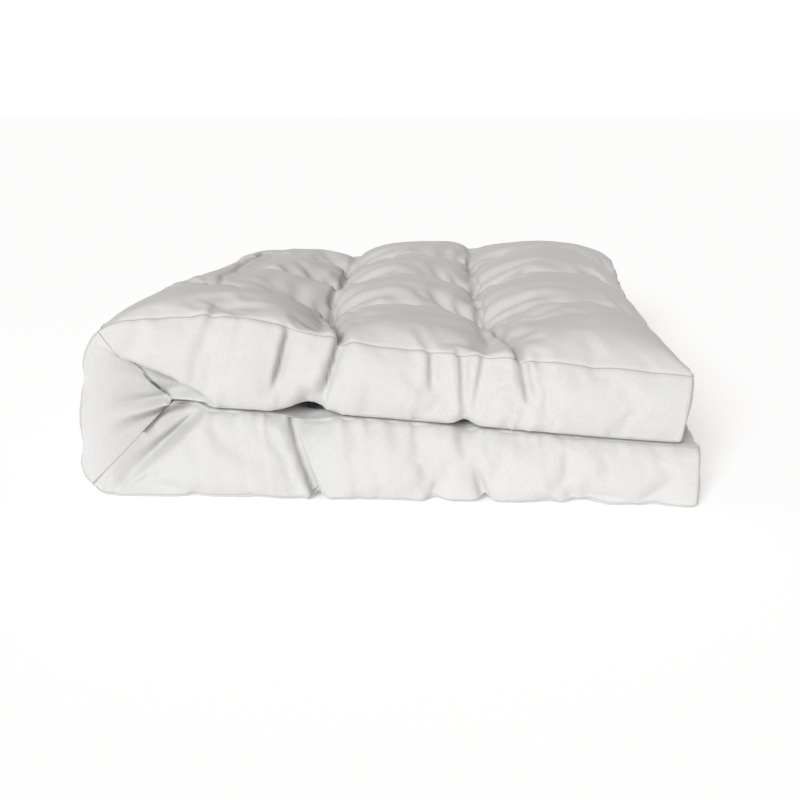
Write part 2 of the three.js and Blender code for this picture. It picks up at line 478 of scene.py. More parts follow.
class SkinBuilder:
    """Lays the skin of the folded mattress out from its layout."""

    def __init__(
        self, layout: Layout, settings: CoverSettings, lips: Lips, settling: Settling
    ) -> None:
        """Takes the sizes that the skin is laid out from.

        Args:
            layout: Of the mattress.
            settings: Of the cover.
            lips: Of the recesses beside the creases.
            settling: How the mattress sags.
        """
        self.layout = layout
        self.set = settings
        self.lips = lips
        self.settling = settling
        self.skin = Skin()
        self.half_band = settings.band_width / 2
        crease = layout.lower.point(layout.thickness, layout.thickness)
        self.creases = {
            "lower": self._crease(layout.lower.origin, crease, layout.fold.along),
            "upper": self._crease(layout.upper.origin, crease, -layout.fold.along),
        }
        self.across = self._across()

    @staticmethod
    def _crease(hinge: Array, crease: Array, to_wedge: Array) -> Crease:
        """Works out the mitre where a half meets the fold.

        Args:
            hinge: Its hinge's x and z.
            crease: The outer end of the mitre.
            to_wedge: Direction of the fold.

        Returns:
            The crease.
        """
        inwards = (crease - hinge) / np.linalg.norm(crease - hinge)
        normal = np.array([-inwards[1], inwards[0]])
        if normal @ to_wedge < 0:
            normal = -normal
        return Crease(hinge, inwards, normal)

    def _across(self) -> Array:
        """Shares of the half width at the columns of points, from -1 to 1.

        Returns:
            The shares.
        """
        count = int(round(2 * self.layout.half_width / self.set.cell))
        even = np.linspace(-1.0, 1.0, count + 1)
        # Closer together near the seams, where the cover turns over.
        return even - 0.045 * np.sin(math.pi * even) * -1.0

    # Relief -----------------------------------------------------------------------------------

    def dips(self, along: Array, y: Array, rows: tuple[float, ...], depth: float) -> Array:
        """Depth of the tufts and of the valleys along their rows, below the crown.

        Args:
            along: Distances along the panel.
            y: Distances across it.
            rows: Where its rows of tufts are.
            depth: Of a tuft.

        Returns:
            Depths.
        """
        s = self.set
        total = np.zeros(np.broadcast(along, y).shape)
        shares = s.row_shares[-len(rows) :]
        for row, share in zip(rows, shares):
            total = total + share * s.row_valley * bump(along - row, s.row_valley_width)
        beyond = smooth((along - min(rows) + 0.02) / 0.10)
        for column in self.layout.columns:
            total = total + beyond * s.column_valley * bump(y - column, s.column_valley_width)
        for row, share in zip(rows, shares):
            for column in self.layout.columns:
                away = np.hypot((along - row) / s.tuft_spread, (y - column) / s.tuft_spread)
                total = np.maximum(total, share * depth * np.exp(-away * 1.15))
        return total

    def corner(self, along: Array, radius: float) -> Array:
        """Drop of a rounded corner at distances from the sharp one."""
        short = np.clip(radius - np.asarray(along), 0.0, radius)
        return radius - np.sqrt(radius**2 - short**2)

    def edge_drop(self, share: Array, edge: Edge) -> Array:
        """Drop of a panel towards the seams of its long sides.

        Args:
            share: Of the half width.
            edge: How the panel turns down.

        Returns:
            Drops.
        """
        gap = (1.0 - np.abs(share)) * self.layout.half_width
        past = np.clip(1.0 - gap / edge.side_reach, 0.0, 1.0)
        return edge.side_drop * (1.0 - np.sqrt(1.0 - past**2 * 0.96))

    # A half -----------------------------------------------------------------------------------

    def _leaf_columns(self, length: float, radius: float) -> tuple[Array, Array]:
        """Distances along a half's outer face and along its inner face, one pair to a column.

        Args:
            length: Of the half.
            radius: Of its corner at the free end.

        Returns:
            The outer and the inner distances.
        """
        t = self.layout.thickness
        near = np.linspace(0.0, radius, 400)
        off = (self.corner(near, radius) - near) / math.sqrt(2.0)
        # The column where the rounded corner comes within the band.
        inside = np.where(-off >= self.half_band)[0]
        first = float(near[inside[0]])
        last = length - self.set.end_inset
        count = int(round((last - first) / self.set.cell))
        outer = np.linspace(first, last, count + 1)
        inner_first = t - 0.0015 + self.half_band * math.sqrt(2.0)
        fan = np.clip((outer - first) / (self.set.fan_start - first), 0.0, 1.0)
        inner = np.where(
            outer < self.set.fan_start,
            inner_first + fan * (self.set.fan_start - inner_first),
            outer,
        )
        return outer, inner

    def add_half(self, name: str, face: FaceFrame, length: float, radius: float) -> None:
        """Adds the panels and borders of a half.

        Args:
            name: Prefix of the pieces.
            face: Frame of the half.
            length: From the fold's corner to the free end.
            radius: Of the rounded corner at the fold.
        """
        s, lay = self.set, self.layout
        outer, inner = self._leaf_columns(length, radius)
        flip = name == "upper"
        crease = self.creases[name]
        share_down = np.linspace(0.0, 1.0, s.border_rows + 1)
        edge = EDGES[name]
        to_end = (length - s.end_inset - outer) / edge.end_reach
        end_drop = edge.end_drop * smooth(1.0 - to_end) ** 1.5
        corner_drop = self.corner(outer, radius)
        results = {}
        for key, relief in (("shape", 1.0), ("rest", 0.0)):
            seam_fade = smooth((outer - outer[0]) / 0.06)
            outer_h = corner_drop + self.edge_drop(np.array(1.0), edge) * seam_fade
            outer_h = np.maximum(outer_h, corner_drop + end_drop)
            opening = sum(n.drop * bump(inner - n.along, n.width) for n in NOTCHES) * relief
            opening = opening + s.inner_seam_drop * smooth((inner - inner[0]) / 0.05)
            inner_h = lay.thickness_at(inner) - opening
            top = face.point(outer, outer_h)
            low = face.point(inner, inner_h)
            up, down = (1 - share_down)[None, :, None], share_down[None, :, None]
            xz = top[:, None] * up + low[:, None] * down
            seam_inset = s.floor_seam_inset if name == "lower" else s.seam_inset
            into_fold = smooth((outer - outer[0]) / 0.08)[:, None]
            inset = self.border_inset(share_down, name)[None, :]
            outside = (seam_inset - s.seam_inset) * np.clip(1 - share_down / 0.35, 0, 1)[None, :] ** 2
            half = lay.half_width - np.maximum(inset + outside * into_fold, self.recess(xz))
            for notch in NOTCHES:
                beside = bump(inner - notch.along, notch.width)[:, None]
                half = half - relief * notch.inset * beside * smooth((share_down - 0.6) / 0.4)[None, :]
            border = {
                side: np.dstack([xz[..., 0], side.value * half, xz[..., 1]]) for side in Side
            }
            y = self.across[None, :] * half[:, :1]
            drop = self.edge_drop(self.across[None, :], edge) * seam_fade[:, None]
            drop = np.maximum(drop, end_drop[:, None])
            h = corner_drop[:, None] + drop
            h = h + relief * self.dips(outer[:, None], y, lay.rows, s.tuft_depth) * (
                1 - smooth((np.abs(self.across) - 0.90) / 0.1)[None, :]
            )
            top_xz = face.point(np.broadcast_to(outer[:, None], h.shape), h)
            panel = np.dstack([top_xz[..., 0], y, top_xz[..., 1]])
            y_in = self.across[None, :] * half[:, -1:]
            near_edge = smooth((np.abs(self.across) - 0.88) / 0.12)[None, :]
            h_in = lay.thickness_at(inner)[:, None] - opening[:, None] * near_edge
            h_in = h_in - relief * self.dips(inner[:, None], y_in, lay.rows[1:], 0.012) * (
                1 - smooth((np.abs(self.across) - 0.85) / 0.1)[None, :]
            )
            h_in[-1, :] = inner_h[-1]
            in_xz = face.point(np.broadcast_to(inner[:, None], h_in.shape), h_in)
            under = np.dstack([in_xz[..., 0], y_in, in_xz[..., 1]])
            weight = share_down[:, None]
            end = panel[-1][None] * (1 - weight[..., None]) + under[-1][None] * weight[..., None]
            bulge = s.end_inset * (1 - (2 * share_down - 1) ** 2)[:, None]
            bulge = bulge * (1 - self.across**8)[None, :]
            bulge = bulge - (self.border_inset(share_down, name) * (share_down > 0.5))[:, None]
            bulge = bulge * smooth((1 - np.abs(self.across)) / 0.05)[None, :]
            end = end + (bulge[..., None]) * np.array([face.along[0], 0.0, face.along[1]])
            end[:, 0] = border[Side.FRONT][-1]
            end[:, -1] = border[Side.BACK][-1]
            panel[:, 0] = border[Side.FRONT][:, 0]
            panel[:, -1] = border[Side.BACK][:, 0]
            under[:, 0] = border[Side.FRONT][:, -1]
            under[:, -1] = border[Side.BACK][:, -1]
            if relief:
                self.gather(name, face, outer, share_down, panel, border[Side.FRONT])
            end[0] = panel[-1]
            end[-1] = under[-1]
            results[key] = (panel, border[Side.FRONT], border[Side.BACK], end, under)
        shape, rest = results["shape"], results["rest"]
        pins = [np.zeros(g.shape[:2]) for g in shape]
        pins[0] = self.tuft_pins(shape[0], outer, lay.rows)
        pins[4][:] = 1.0
        for side in (1, 2):
            xz = shape[side][..., [0, 2]]
            pins[side][:, 1:] = (self.inside_lips(xz)[0][:, 1:] > 0.85).astype(float)
            pins[side][0, 1:] = 1.0
            pins[side][:, -1] = 1.0
        self.hold_gathers(name, pins, outer, share_down)
        pins[3][-1] = 1.0
        labels = ("outer_panel", "front_border", "back_border", "end_border", "inner_panel")
        # Which grids wind inwards, for a half that lies face down.
        winding = (False, True, False, False, True)
        for label, a, b, pin, wind in zip(labels, shape, rest, pins, winding):
            self.skin.add(f"{name}_{label}", a, b, pin, wind != flip)
        self.ends = getattr(self, "ends", {})
        self.ends[name] = {"shape": [g[0] for g in shape], "rest": [g[0] for g in rest]}

    def border_inset(self, share: Array, name: str = "") -> Array:
        """How far a border's rounded section lies inside the full width, from seam to seam.

        Args:
            share: Of the border's depth.
            name: Of the half.

        Returns:
            Distances inwards.
        """
        s = self.set
        outside = s.seam_inset * np.clip(1 - share / 0.35, 0, 1) ** 2
        most = {"lower": s.lower_inner_inset, "upper": s.upper_inner_inset}.get(name, 0.0)
        return outside + most * np.clip((share - 0.76) / 0.24, 0, 1) ** 2.5

    def recess(self, xz: Array) -> Array:
        """How far the borders sink in at the ends of the fold, at points of the XZ plane."""
        return self.inside_lips(xz)[1]

    def inside_lips(self, xz: Array, softness: float = 0.0) -> tuple[Array, Array]:
        """How far inside the lips points lie, from 0 to 1, and how far the borders sink there.

        Args:
            xz: Points in the plane of the section.
            softness: Of the recess's edge.

        Returns:
            The shares, and the sinking.
        """
        lips = self.lips
        at = xz - self.layout.lower.origin
        shares = []
        for start, stop, sign in (
            (lips.upper_from, lips.upper_to, 1.0),
            (lips.lower_from, lips.lower_to, -1.0),
        ):
            run = np.array(stop) - np.array(start)
            run = run / np.linalg.norm(run)
            normal = sign * np.array([run[1], -run[0]])
            soft = softness or lips.softness
            shares.append(smooth(((at - np.array(start)) @ normal) / soft + 0.5))
        inside = shares[0] * shares[1]
        nearing = (at[..., 0] - lips.deep_from) / (lips.reach - lips.deep_from)
        closing = (at[..., 0] - lips.closes_from) / (lips.upper_to[0] - lips.closes_from)
        deep = lips.shallow + (lips.deep - lips.shallow) * smooth(nearing)
        deep = deep * (1.0 - lips.closed_share * smooth(closing))
        apex = at - np.array(lips.upper_to)
        angle = np.arctan2(apex[..., 1], -apex[..., 0])
        away = np.linalg.norm(apex, axis=-1)
        waves = np.sin(17.0 * angle + 0.7) + 0.6 * np.sin(27.0 * angle + 2.1)
        pleats = lips.pleat * waves * smooth((away - 0.006) / 0.05) * smooth((0.17 - away) / 0.08)
        return inside, inside * np.maximum(0.0, deep + pleats)

    def _past_seam(self, share_down: Array) -> tuple[Array, Array]:
        """Distances from the front seam: of the panel's columns, and of the border's rows."""
        on_panel = -(1.0 + self.across) * self.layout.half_width
        return on_panel, share_down * self.layout.thickness

    def gather(
        self, name: str, face: FaceFrame, outer: Array, share_down: Array, panel: Array, border: Array
    ) -> None:
        """Sinks the gathers into a half's panel and front border, in place.

        Args:
            name: Of the half.
            face: Its frame.
            outer: Distances along its outer face.
            share_down: Shares of the border's depth.
            panel: Points of the panel.
            border: Points of the border.
        """
        on_panel, on_border = self._past_seam(share_down)
        for gathered in (g for g in GATHERS if g.half == name):
            for grid, past in ((panel, on_panel), (border, on_border)):
                along = outer[:, None] + 0.0 * past[None, :]
                sunk, raised = gathered.amount(along, past[None, :] + 0.0 * outer[:, None])
                inward = gathered.depth * sunk - gathered.lip * raised
                turn = smooth((past + 0.02) / 0.04) * math.pi / 2
                grid[..., 0] += inward * np.cos(turn) * face.inward[0]
                grid[..., 2] += inward * np.cos(turn) * face.inward[1]
                grid[..., 1] += inward * np.sin(turn)

    def hold_gathers(self, name: str, pins: list[Array], outer: Array, share_down: Array) -> None:
        """Holds the bottoms of the gathers.

        Args:
            name: Of the half.
            pins: Weights that hold the border's points.
            outer: Distances along the outer face.
            share_down: Shares of the border's depth.
        """
        on_panel, on_border = self._past_seam(share_down)
        for gathered in (g for g in GATHERS if g.half == name):
            for pin, past in ((pins[0], on_panel), (pins[1], on_border)):
                along = outer[:, None] + 0.0 * past[None, :]
                sunk, _ = gathered.amount(along, past[None, :] + 0.0 * outer[:, None])
                line = np.interp(past, (gathered.start, 0.0, gathered.stop), gathered.along)
                near = np.abs(along - line[None, :]) < 0.5 * self.set.cell
                pin[near & (sunk > 0.5)] = 1.0

    def settle(self) -> None:
        """Moves every point to where the settled mattress has it."""
        for patch in self.skin.patches:
            for grid in (patch.shape, patch.rest):
                grid += self.settled(grid)

    def settled(self, points: Array) -> Array:
        """How far points of the square mattress move when it has settled.

        Near a crease of the fold the movement is along its mitre, so that the bands stay whole.

        Args:
            points: Before settling.

        Returns:
            A move for every point.
        """
        lay, how = self.layout, self.settling
        xz, y = points[..., [0, 2]], points[..., 1]
        sink = np.clip(
            how.sink_at_front + (y + lay.half_width - 0.02) * how.sink_per_metre, 0.0, 1.02
        )
        top = self.creases["upper"]
        centre = lay.lower.point(lay.thickness, lay.thickness)
        ray = xz - centre
        to_floor = lay.lower.origin - centre
        start = math.atan2(to_floor[0], to_floor[1])
        span = math.atan2(-top.inwards[0], -top.inwards[1]) - start
        angle = np.arctan2(ray[..., 0], ray[..., 1])
        turned = np.mod(angle - start, 2 * math.pi) / np.mod(span, 2 * math.pi)
        local = xz - lay.upper.origin
        along, inward = local @ lay.upper.along, local @ lay.upper.inward
        thick = lay.thickness_at(along)
        share = np.clip(1.0 - inward / thick, 0.0, 1.0)
        in_wedge = turned <= 1.0
        in_upper = ~in_wedge & (inward < thick + 0.004) & (local @ lay.upper.along > -0.02)
        reach = np.linalg.norm(ray, axis=-1)
        full = np.where(
            in_wedge,
            lay.fold_height / np.maximum(np.abs(ray @ lay.fold.inward) / np.maximum(reach, 1e-6), 0.3),
            1.0,
        )
        in_fold = np.clip(reach / full, 0.0, 1.0) * smooth(turned)
        away = smooth(along / how.corner_reach)
        fade = smooth((how.half_reach - along) / how.half_reach)
        move = np.zeros(points.shape)
        at_top = how.back_sink * sink
        wedge_move = (at_top * in_fold)[..., None] * top.inwards
        half_move = (share * at_top * (1 - away))[..., None] * top.inwards
        depth = share * how.half_sink * sink * away * fade
        half_move = half_move + depth[..., None] * lay.upper.inward
        front = 1.0 - smooth((y + lay.half_width) / how.hump_reach)
        hump = how.hump * bump(along - how.hump_at, how.hump_width) * front * smooth(along / 0.10)
        half_move = half_move - (share * hump)[..., None] * lay.upper.inward
        chosen = np.where(in_wedge[..., None], wedge_move, np.where(in_upper[..., None], half_move, 0.0))
        move[..., 0], move[..., 2] = chosen[..., 0], chosen[..., 1]
        from_fold = xz[..., 0] - lay.lower.origin[0]
        height = np.where(in_upper, 1.0 - share, np.clip(xz[..., 1] / lay.thickness, 0.0, 1.0))
        move[..., 2] -= height * how.meeting_drop(from_fold)
        out = smooth((from_fold - lay.thickness) / lay.lower_length)
        near = 1.0 - smooth((y + lay.half_width) / lay.half_width)
        far = smooth(y / lay.half_width)
        move[..., 1] -= how.end_swing * out * near
        move[..., 0] += how.back_slip * out * far * np.where(in_upper, 1.0, 0.3)
        return move

    def tuft_pins(self, panel: Array, along: Array, rows: tuple[float, ...]) -> Array:
        """Holds the points at the bottom of each tuft.

        Args:
            panel: Points of the panel.
            along: Their distances along it.
            rows: Where its rows of tufts are.

        Returns:
            Weights.
        """
        pins = np.zeros(panel.shape[:2])
        for row, share in zip(rows, self.set.row_shares[-len(rows) :]):
            for column in self.layout.columns if share > 0.5 else ():
                away = np.hypot(along[:, None] - row, panel[..., 1] - column)
                pins = np.maximum(pins, (away < 0.75 * self.set.cell).astype(float))
                pins.flat[np.argmin(away)] = 1.0
        return pins

    # The wedge --------------------------------------------------------------------------------

    def add_wedge(self) -> None:
        """Adds the panels and borders of the fold's wedge, and the bands at its creases."""
        s, lay = self.set, self.layout
        apex = lay.fold_height - 0.0025
        slope = lay.fold_height / (lay.fold_length / 2)
        count = int(round(lay.fold_length / s.cell))
        share_down = np.linspace(0.0, 1.0, s.border_rows + 1)

        def first_at(radius: float) -> float:
            """Distance from a corner of that radius to the first column clear of the band."""
            near = np.linspace(0.0, radius, 400)
            off = (near * slope - self.corner(near, radius)) * math.cos(math.atan(slope))
            return float(near[np.where(off >= self.half_band)[0][0]])

        low, high = first_at(s.floor_corner_radius), first_at(s.top_corner_radius)
        outer = np.linspace(low, lay.fold_length - high, count + 1)
        margin = (apex / slope) + self.half_band / math.sin(math.atan(slope))
        margin = min(margin, lay.fold_length / 2 - 0.0015)
        inner = np.linspace(margin, lay.fold_length - margin, count + 1)
        corner = self.corner(outer, s.floor_corner_radius)
        corner = corner + self.corner(lay.fold_length - outer, s.top_corner_radius)
        results = {}
        for key, relief in (("shape", 1.0), ("rest", 0.0)):
            top = lay.fold.point(outer, corner)
            bottom = lay.fold.point(inner, np.full(inner.shape, apex))
            w = share_down[None, :, None]
            xz = top[:, None] * (1 - w) + bottom[:, None] * w
            inset = self.border_inset(share_down)[None, :] * (share_down < 0.5)[None, :]
            half = lay.half_width - np.maximum(inset, self.recess(xz))
            border = {side: np.dstack([xz[..., 0], side.value * half, xz[..., 1]]) for side in Side}
            y = self.across[None, :] * half[:, :1]
            middle = lay.fold_length / 2
            h = corner[:, None] + relief * self.dips(outer[:, None], y, (middle,), s.fold_tuft_depth) * (
                1 - smooth((np.abs(self.across) - 0.90) / 0.1)[None, :]
            )
            out = lay.fold.point(np.broadcast_to(outer[:, None], h.shape), h)
            panel = np.dstack([out[..., 0], y, out[..., 1]])
            panel[:, 0] = border[Side.FRONT][:, 0]
            panel[:, -1] = border[Side.BACK][:, 0]
            y_in = self.across[None, :] * half[:, -1:]
            inn = np.broadcast_to(bottom[:, None], (len(inner), len(self.across), 2))
            under = np.dstack([inn[..., 0], y_in, inn[..., 1]])
            results[key] = (panel, border[Side.FRONT], border[Side.BACK], under)
        shape, rest = results["shape"], results["rest"]
        pins = [np.zeros(shape[0].shape[:2]), *(np.ones(g.shape[:2]) for g in shape[1:])]
        pins[0] = self.tuft_pins(shape[0], outer, (lay.fold_length / 2,))
        for side in (1, 2):
            pins[side][:, 0] = 0.0
        labels = ("outer_panel", "front_border", "back_border", "inner_panel")
        for label, a, b, pin, wind in zip(labels, shape, rest, pins, (True, False, True, False)):
            self.skin.add(f"fold_{label}", a, b, pin, wind)
        for name, column in (("lower", 0), ("upper", -1)):
            self._add_band(
                name,
                self.ends[name],
                {"shape": [g[column] for g in shape], "rest": [g[column] for g in rest]},
            )

    def straighten_bands(self, points: Array, welded: Welded) -> None:
        """Puts the points of the bands back in line across their creases, in place.

        Args:
            points: Of the skin.
            welded: The skin that they belong to.
        """
        for name, crease in self.creases.items():
            for label in ("outer", "front", "back", "inner"):
                grid = welded.grids[f"{name}_crease_{label}"]
                wanted = np.linspace(-self.half_band, self.half_band, grid.shape[0])[:, None]
                off = (points[grid][..., [0, 2]] - crease.hinge) @ crease.towards_fold
                shift = (wanted - off)[..., None] * crease.towards_fold
                moved = points[grid]
                moved[..., [0, 2]] += shift
                points[grid] = moved

    def _add_band(self, name: str, leaf: dict, wedge: dict) -> None:
        """Adds the band of cover that bends where a half meets the wedge.

        Args:
            name: Of the half.
            leaf: The half's grids of points.
            wedge: The wedge's grids of points.
        """
        s, lay = self.set, self.layout
        crease = self.creases[name]
        span = np.linspace(0.0, 1.0, s.band_columns + 1)
        turn = smooth(0.5 + (span - 0.5) / self.lips.turned_share)
        first, last = leaf["shape"][1][-1], wedge["shape"][1][-1]
        reach_first = (first[[0, 2]] - crease.hinge) @ crease.inwards
        reach_last = (last[[0, 2]] - crease.hinge) @ crease.inwards
        low = math.atan2(1.0, 1.0)
        full = math.radians(90.0) + lay.taper
        height = (1 - turn) * reach_first * math.sin(low) + turn * reach_last * math.sin(low + full)
        deep = height / np.sin(low + full * turn)
        deep[0], deep[-1] = reach_first, reach_last
        wind = name == "upper"
        grids = {}
        for key in ("shape", "rest"):
            a_panel, a_front, a_back, _, a_under = leaf[key]
            b_panel, b_front, b_back, b_under = wedge[key]
            w = span[:, None, None]
            strip = a_panel[None] * (1 - w) + b_panel[None] * w
            fans = []
            for a, b in ((a_front, b_front), (a_back, b_back)):
                start = (a[0][[0, 2]] - crease.hinge) @ crease.inwards
                stop = (b[0][[0, 2]] - crease.hinge) @ crease.inwards
                shallow = (1 - span) * start + span * stop
                share = np.linspace(0.0, 1.0, a.shape[0])[None, :]
                reach = shallow[:, None] * (1 - share) + deep[:, None] * share
                off = np.broadcast_to((-self.half_band + s.band_width * span)[:, None], reach.shape)
                xz = crease.point(reach, off)
                side = np.sign(a[0, 1])
                inset = self.border_inset(share) * (share < 0.5)
                y = side * (lay.half_width - np.maximum(inset, self.recess(xz)))
                fan = np.dstack([xz[..., 0], y, xz[..., 1]])
                fan[0], fan[-1] = a, b
                fan[:, 0] = strip[:, 0] if side < 0 else strip[:, -1]
                fans.append(fan)
            share = ((self.across + 1) / 2)[None, :, None]
            pleat = fans[0][:, -1][:, None] * (1 - share) + fans[1][:, -1][:, None] * share
            pleat[0], pleat[-1] = a_under, b_under
            pleat[:, 0], pleat[:, -1] = fans[0][:, -1], fans[1][:, -1]
            grids[key] = (strip, fans[0], fans[1], pleat)
        labels = ("outer", "front", "back", "inner")
        for label, a, b, flip in zip(labels, grids["shape"], grids["rest"], (True, False, True, False)):
            pin = np.ones(a.shape[:2])
            if label == "outer":
                pin[:] = 0.0
            if label in ("front", "back"):
                pin[:, 0] = 0.0
            self.skin.add(f"{name}_crease_{label}", a, b, pin, flip != wind)


def new_mesh(name: str, points: Array, faces: Array) -> bpy.types.Object:
    """A new object of a mesh of equal faces, linked to the scene.

    Args:
        name: Of the object.
        points: Its points.
        faces: Their numbers, a row to a face.

    Returns:
        The object.
    """
    mesh = bpy.data.meshes.new(name)
    mesh.from_pydata(points.tolist(), [], faces.tolist())
    obj = bpy.data.objects.new(name, mesh)
    bpy.context.scene.collection.objects.link(obj)
    return obj


def swell(welded: Welded, cloth: ClothSettings) -> Array:
    """Swells the skin with a cloth simulation.

    Args:
        welded: The skin, in its starting shape.
        cloth: The settings of the simulation.

    Returns:
        The points of the swollen skin.
    """
    scene = bpy.context.scene
    obj = new_mesh("skin", welded.points, welded.quads)
    group = obj.vertex_groups.new(name="held")
    for level in np.unique(welded.pins):
        if level > 0:
            group.add(np.where(welded.pins == level)[0].tolist(), float(level), "REPLACE")
    obj.shape_key_add(name="Basis")
    flat = obj.shape_key_add(name="flat")
    flat.data.foreach_set("co", welded.rest.ravel())
    flat.value = 0.0
    modifier = obj.modifiers.new("cloth", "CLOTH")
    s = modifier.settings
    s.quality = cloth.quality
    s.mass = cloth.mass
    s.tension_stiffness = cloth.tension
    s.compression_stiffness = cloth.tension
    s.shear_stiffness = cloth.tension / 3
    s.bending_stiffness = cloth.bending
    s.tension_damping = 5.0
    s.compression_damping = 5.0
    s.shear_damping = 5.0
    s.bending_damping = 0.5
    s.air_damping = 2.0
    s.vertex_group_mass = "held"
    s.pin_stiffness = 1.0
    s.rest_shape_key = flat
    s.shrink_min = cloth.spare_cloth
    s.shrink_max = cloth.spare_cloth
    s.use_pressure = True
    s.uniform_pressure_force = cloth.pressure
    s.effector_weights.gravity = 0.0
    modifier.collision_settings.use_collision = False
    scene.frame_start = 1
    scene.frame_end = cloth.frames
    modifier.point_cache.frame_start = 1
    modifier.point_cache.frame_end = cloth.frames
    for number in range(1, cloth.frames + 1):
        scene.frame_set(number)
    graph = bpy.context.evaluated_depsgraph_get()
    done = obj.evaluated_get(graph)
    moved = np.empty(len(welded.points) * 3)
    done.data.vertices.foreach_get("co", moved)
    moved = moved.reshape(-1, 3)
    bpy.data.objects.remove(obj, do_unlink=True)
    scene.frame_set(1)
    step = moved - welded.points
    size = np.linalg.norm(step, axis=1, keepdims=True)
    return welded.points + step * np.minimum(1.0, cloth.cap / np.maximum(size, 1e-9))




def shape_to_contact(points: Array, welded: Welded, layout: Layout, how: Settling) -> Array:
    """Presses the skin flat where it lies on the floor, and where the halves lie on each other.

    Args:
        points: Of the swollen skin.
        welded: The skin that they belong to.
        layout: Of the mattress.
        how: How the mattress sags.

    Returns:
        The points, pressed flat.
    """
    points = points.copy()
    normal = np.array([math.sin(layout.taper), math.cos(layout.taper)])
    centre = layout.lower.point(layout.thickness, layout.thickness)
    for name, side in (("lower", -1.0), ("upper", 1.0)):
        owners = [i for i, label in enumerate(welded.names) if label.startswith(name)]
        mine = np.unique(welded.quads[np.isin(welded.owner, owners)])
        sag = how.meeting_drop(points[mine][:, 0] - layout.lower.origin[0])
        past = HALVES_APART - side * ((points[mine][:, [0, 2]] - centre) @ normal + sag)
        points[mine[:, None], [[0, 2]]] += side * np.maximum(past, 0.0)[:, None] * normal
    points[:, 2] = np.maximum(points[:, 2], 0.0)
    return points


HALVES_APART = 0.0008


class Family(Enum):
    """Pieces of the skin that share their shading where they meet."""

    PANEL = "panel"
    BORDER = "border"
    END = "end"
    INNER = "inner"

    @classmethod
    def of(cls, patch: str) -> "Family":
        """The family of a patch of the skin.

        Args:
            patch: Its name.

        Returns:
            Its family.
        """
        if patch.endswith(("outer_panel", "crease_outer")):
            return cls.PANEL
        if patch.endswith(("inner_panel", "crease_inner")):
            return cls.INNER
        if patch.endswith("end_border"):
            return cls.END
        return cls.BORDER


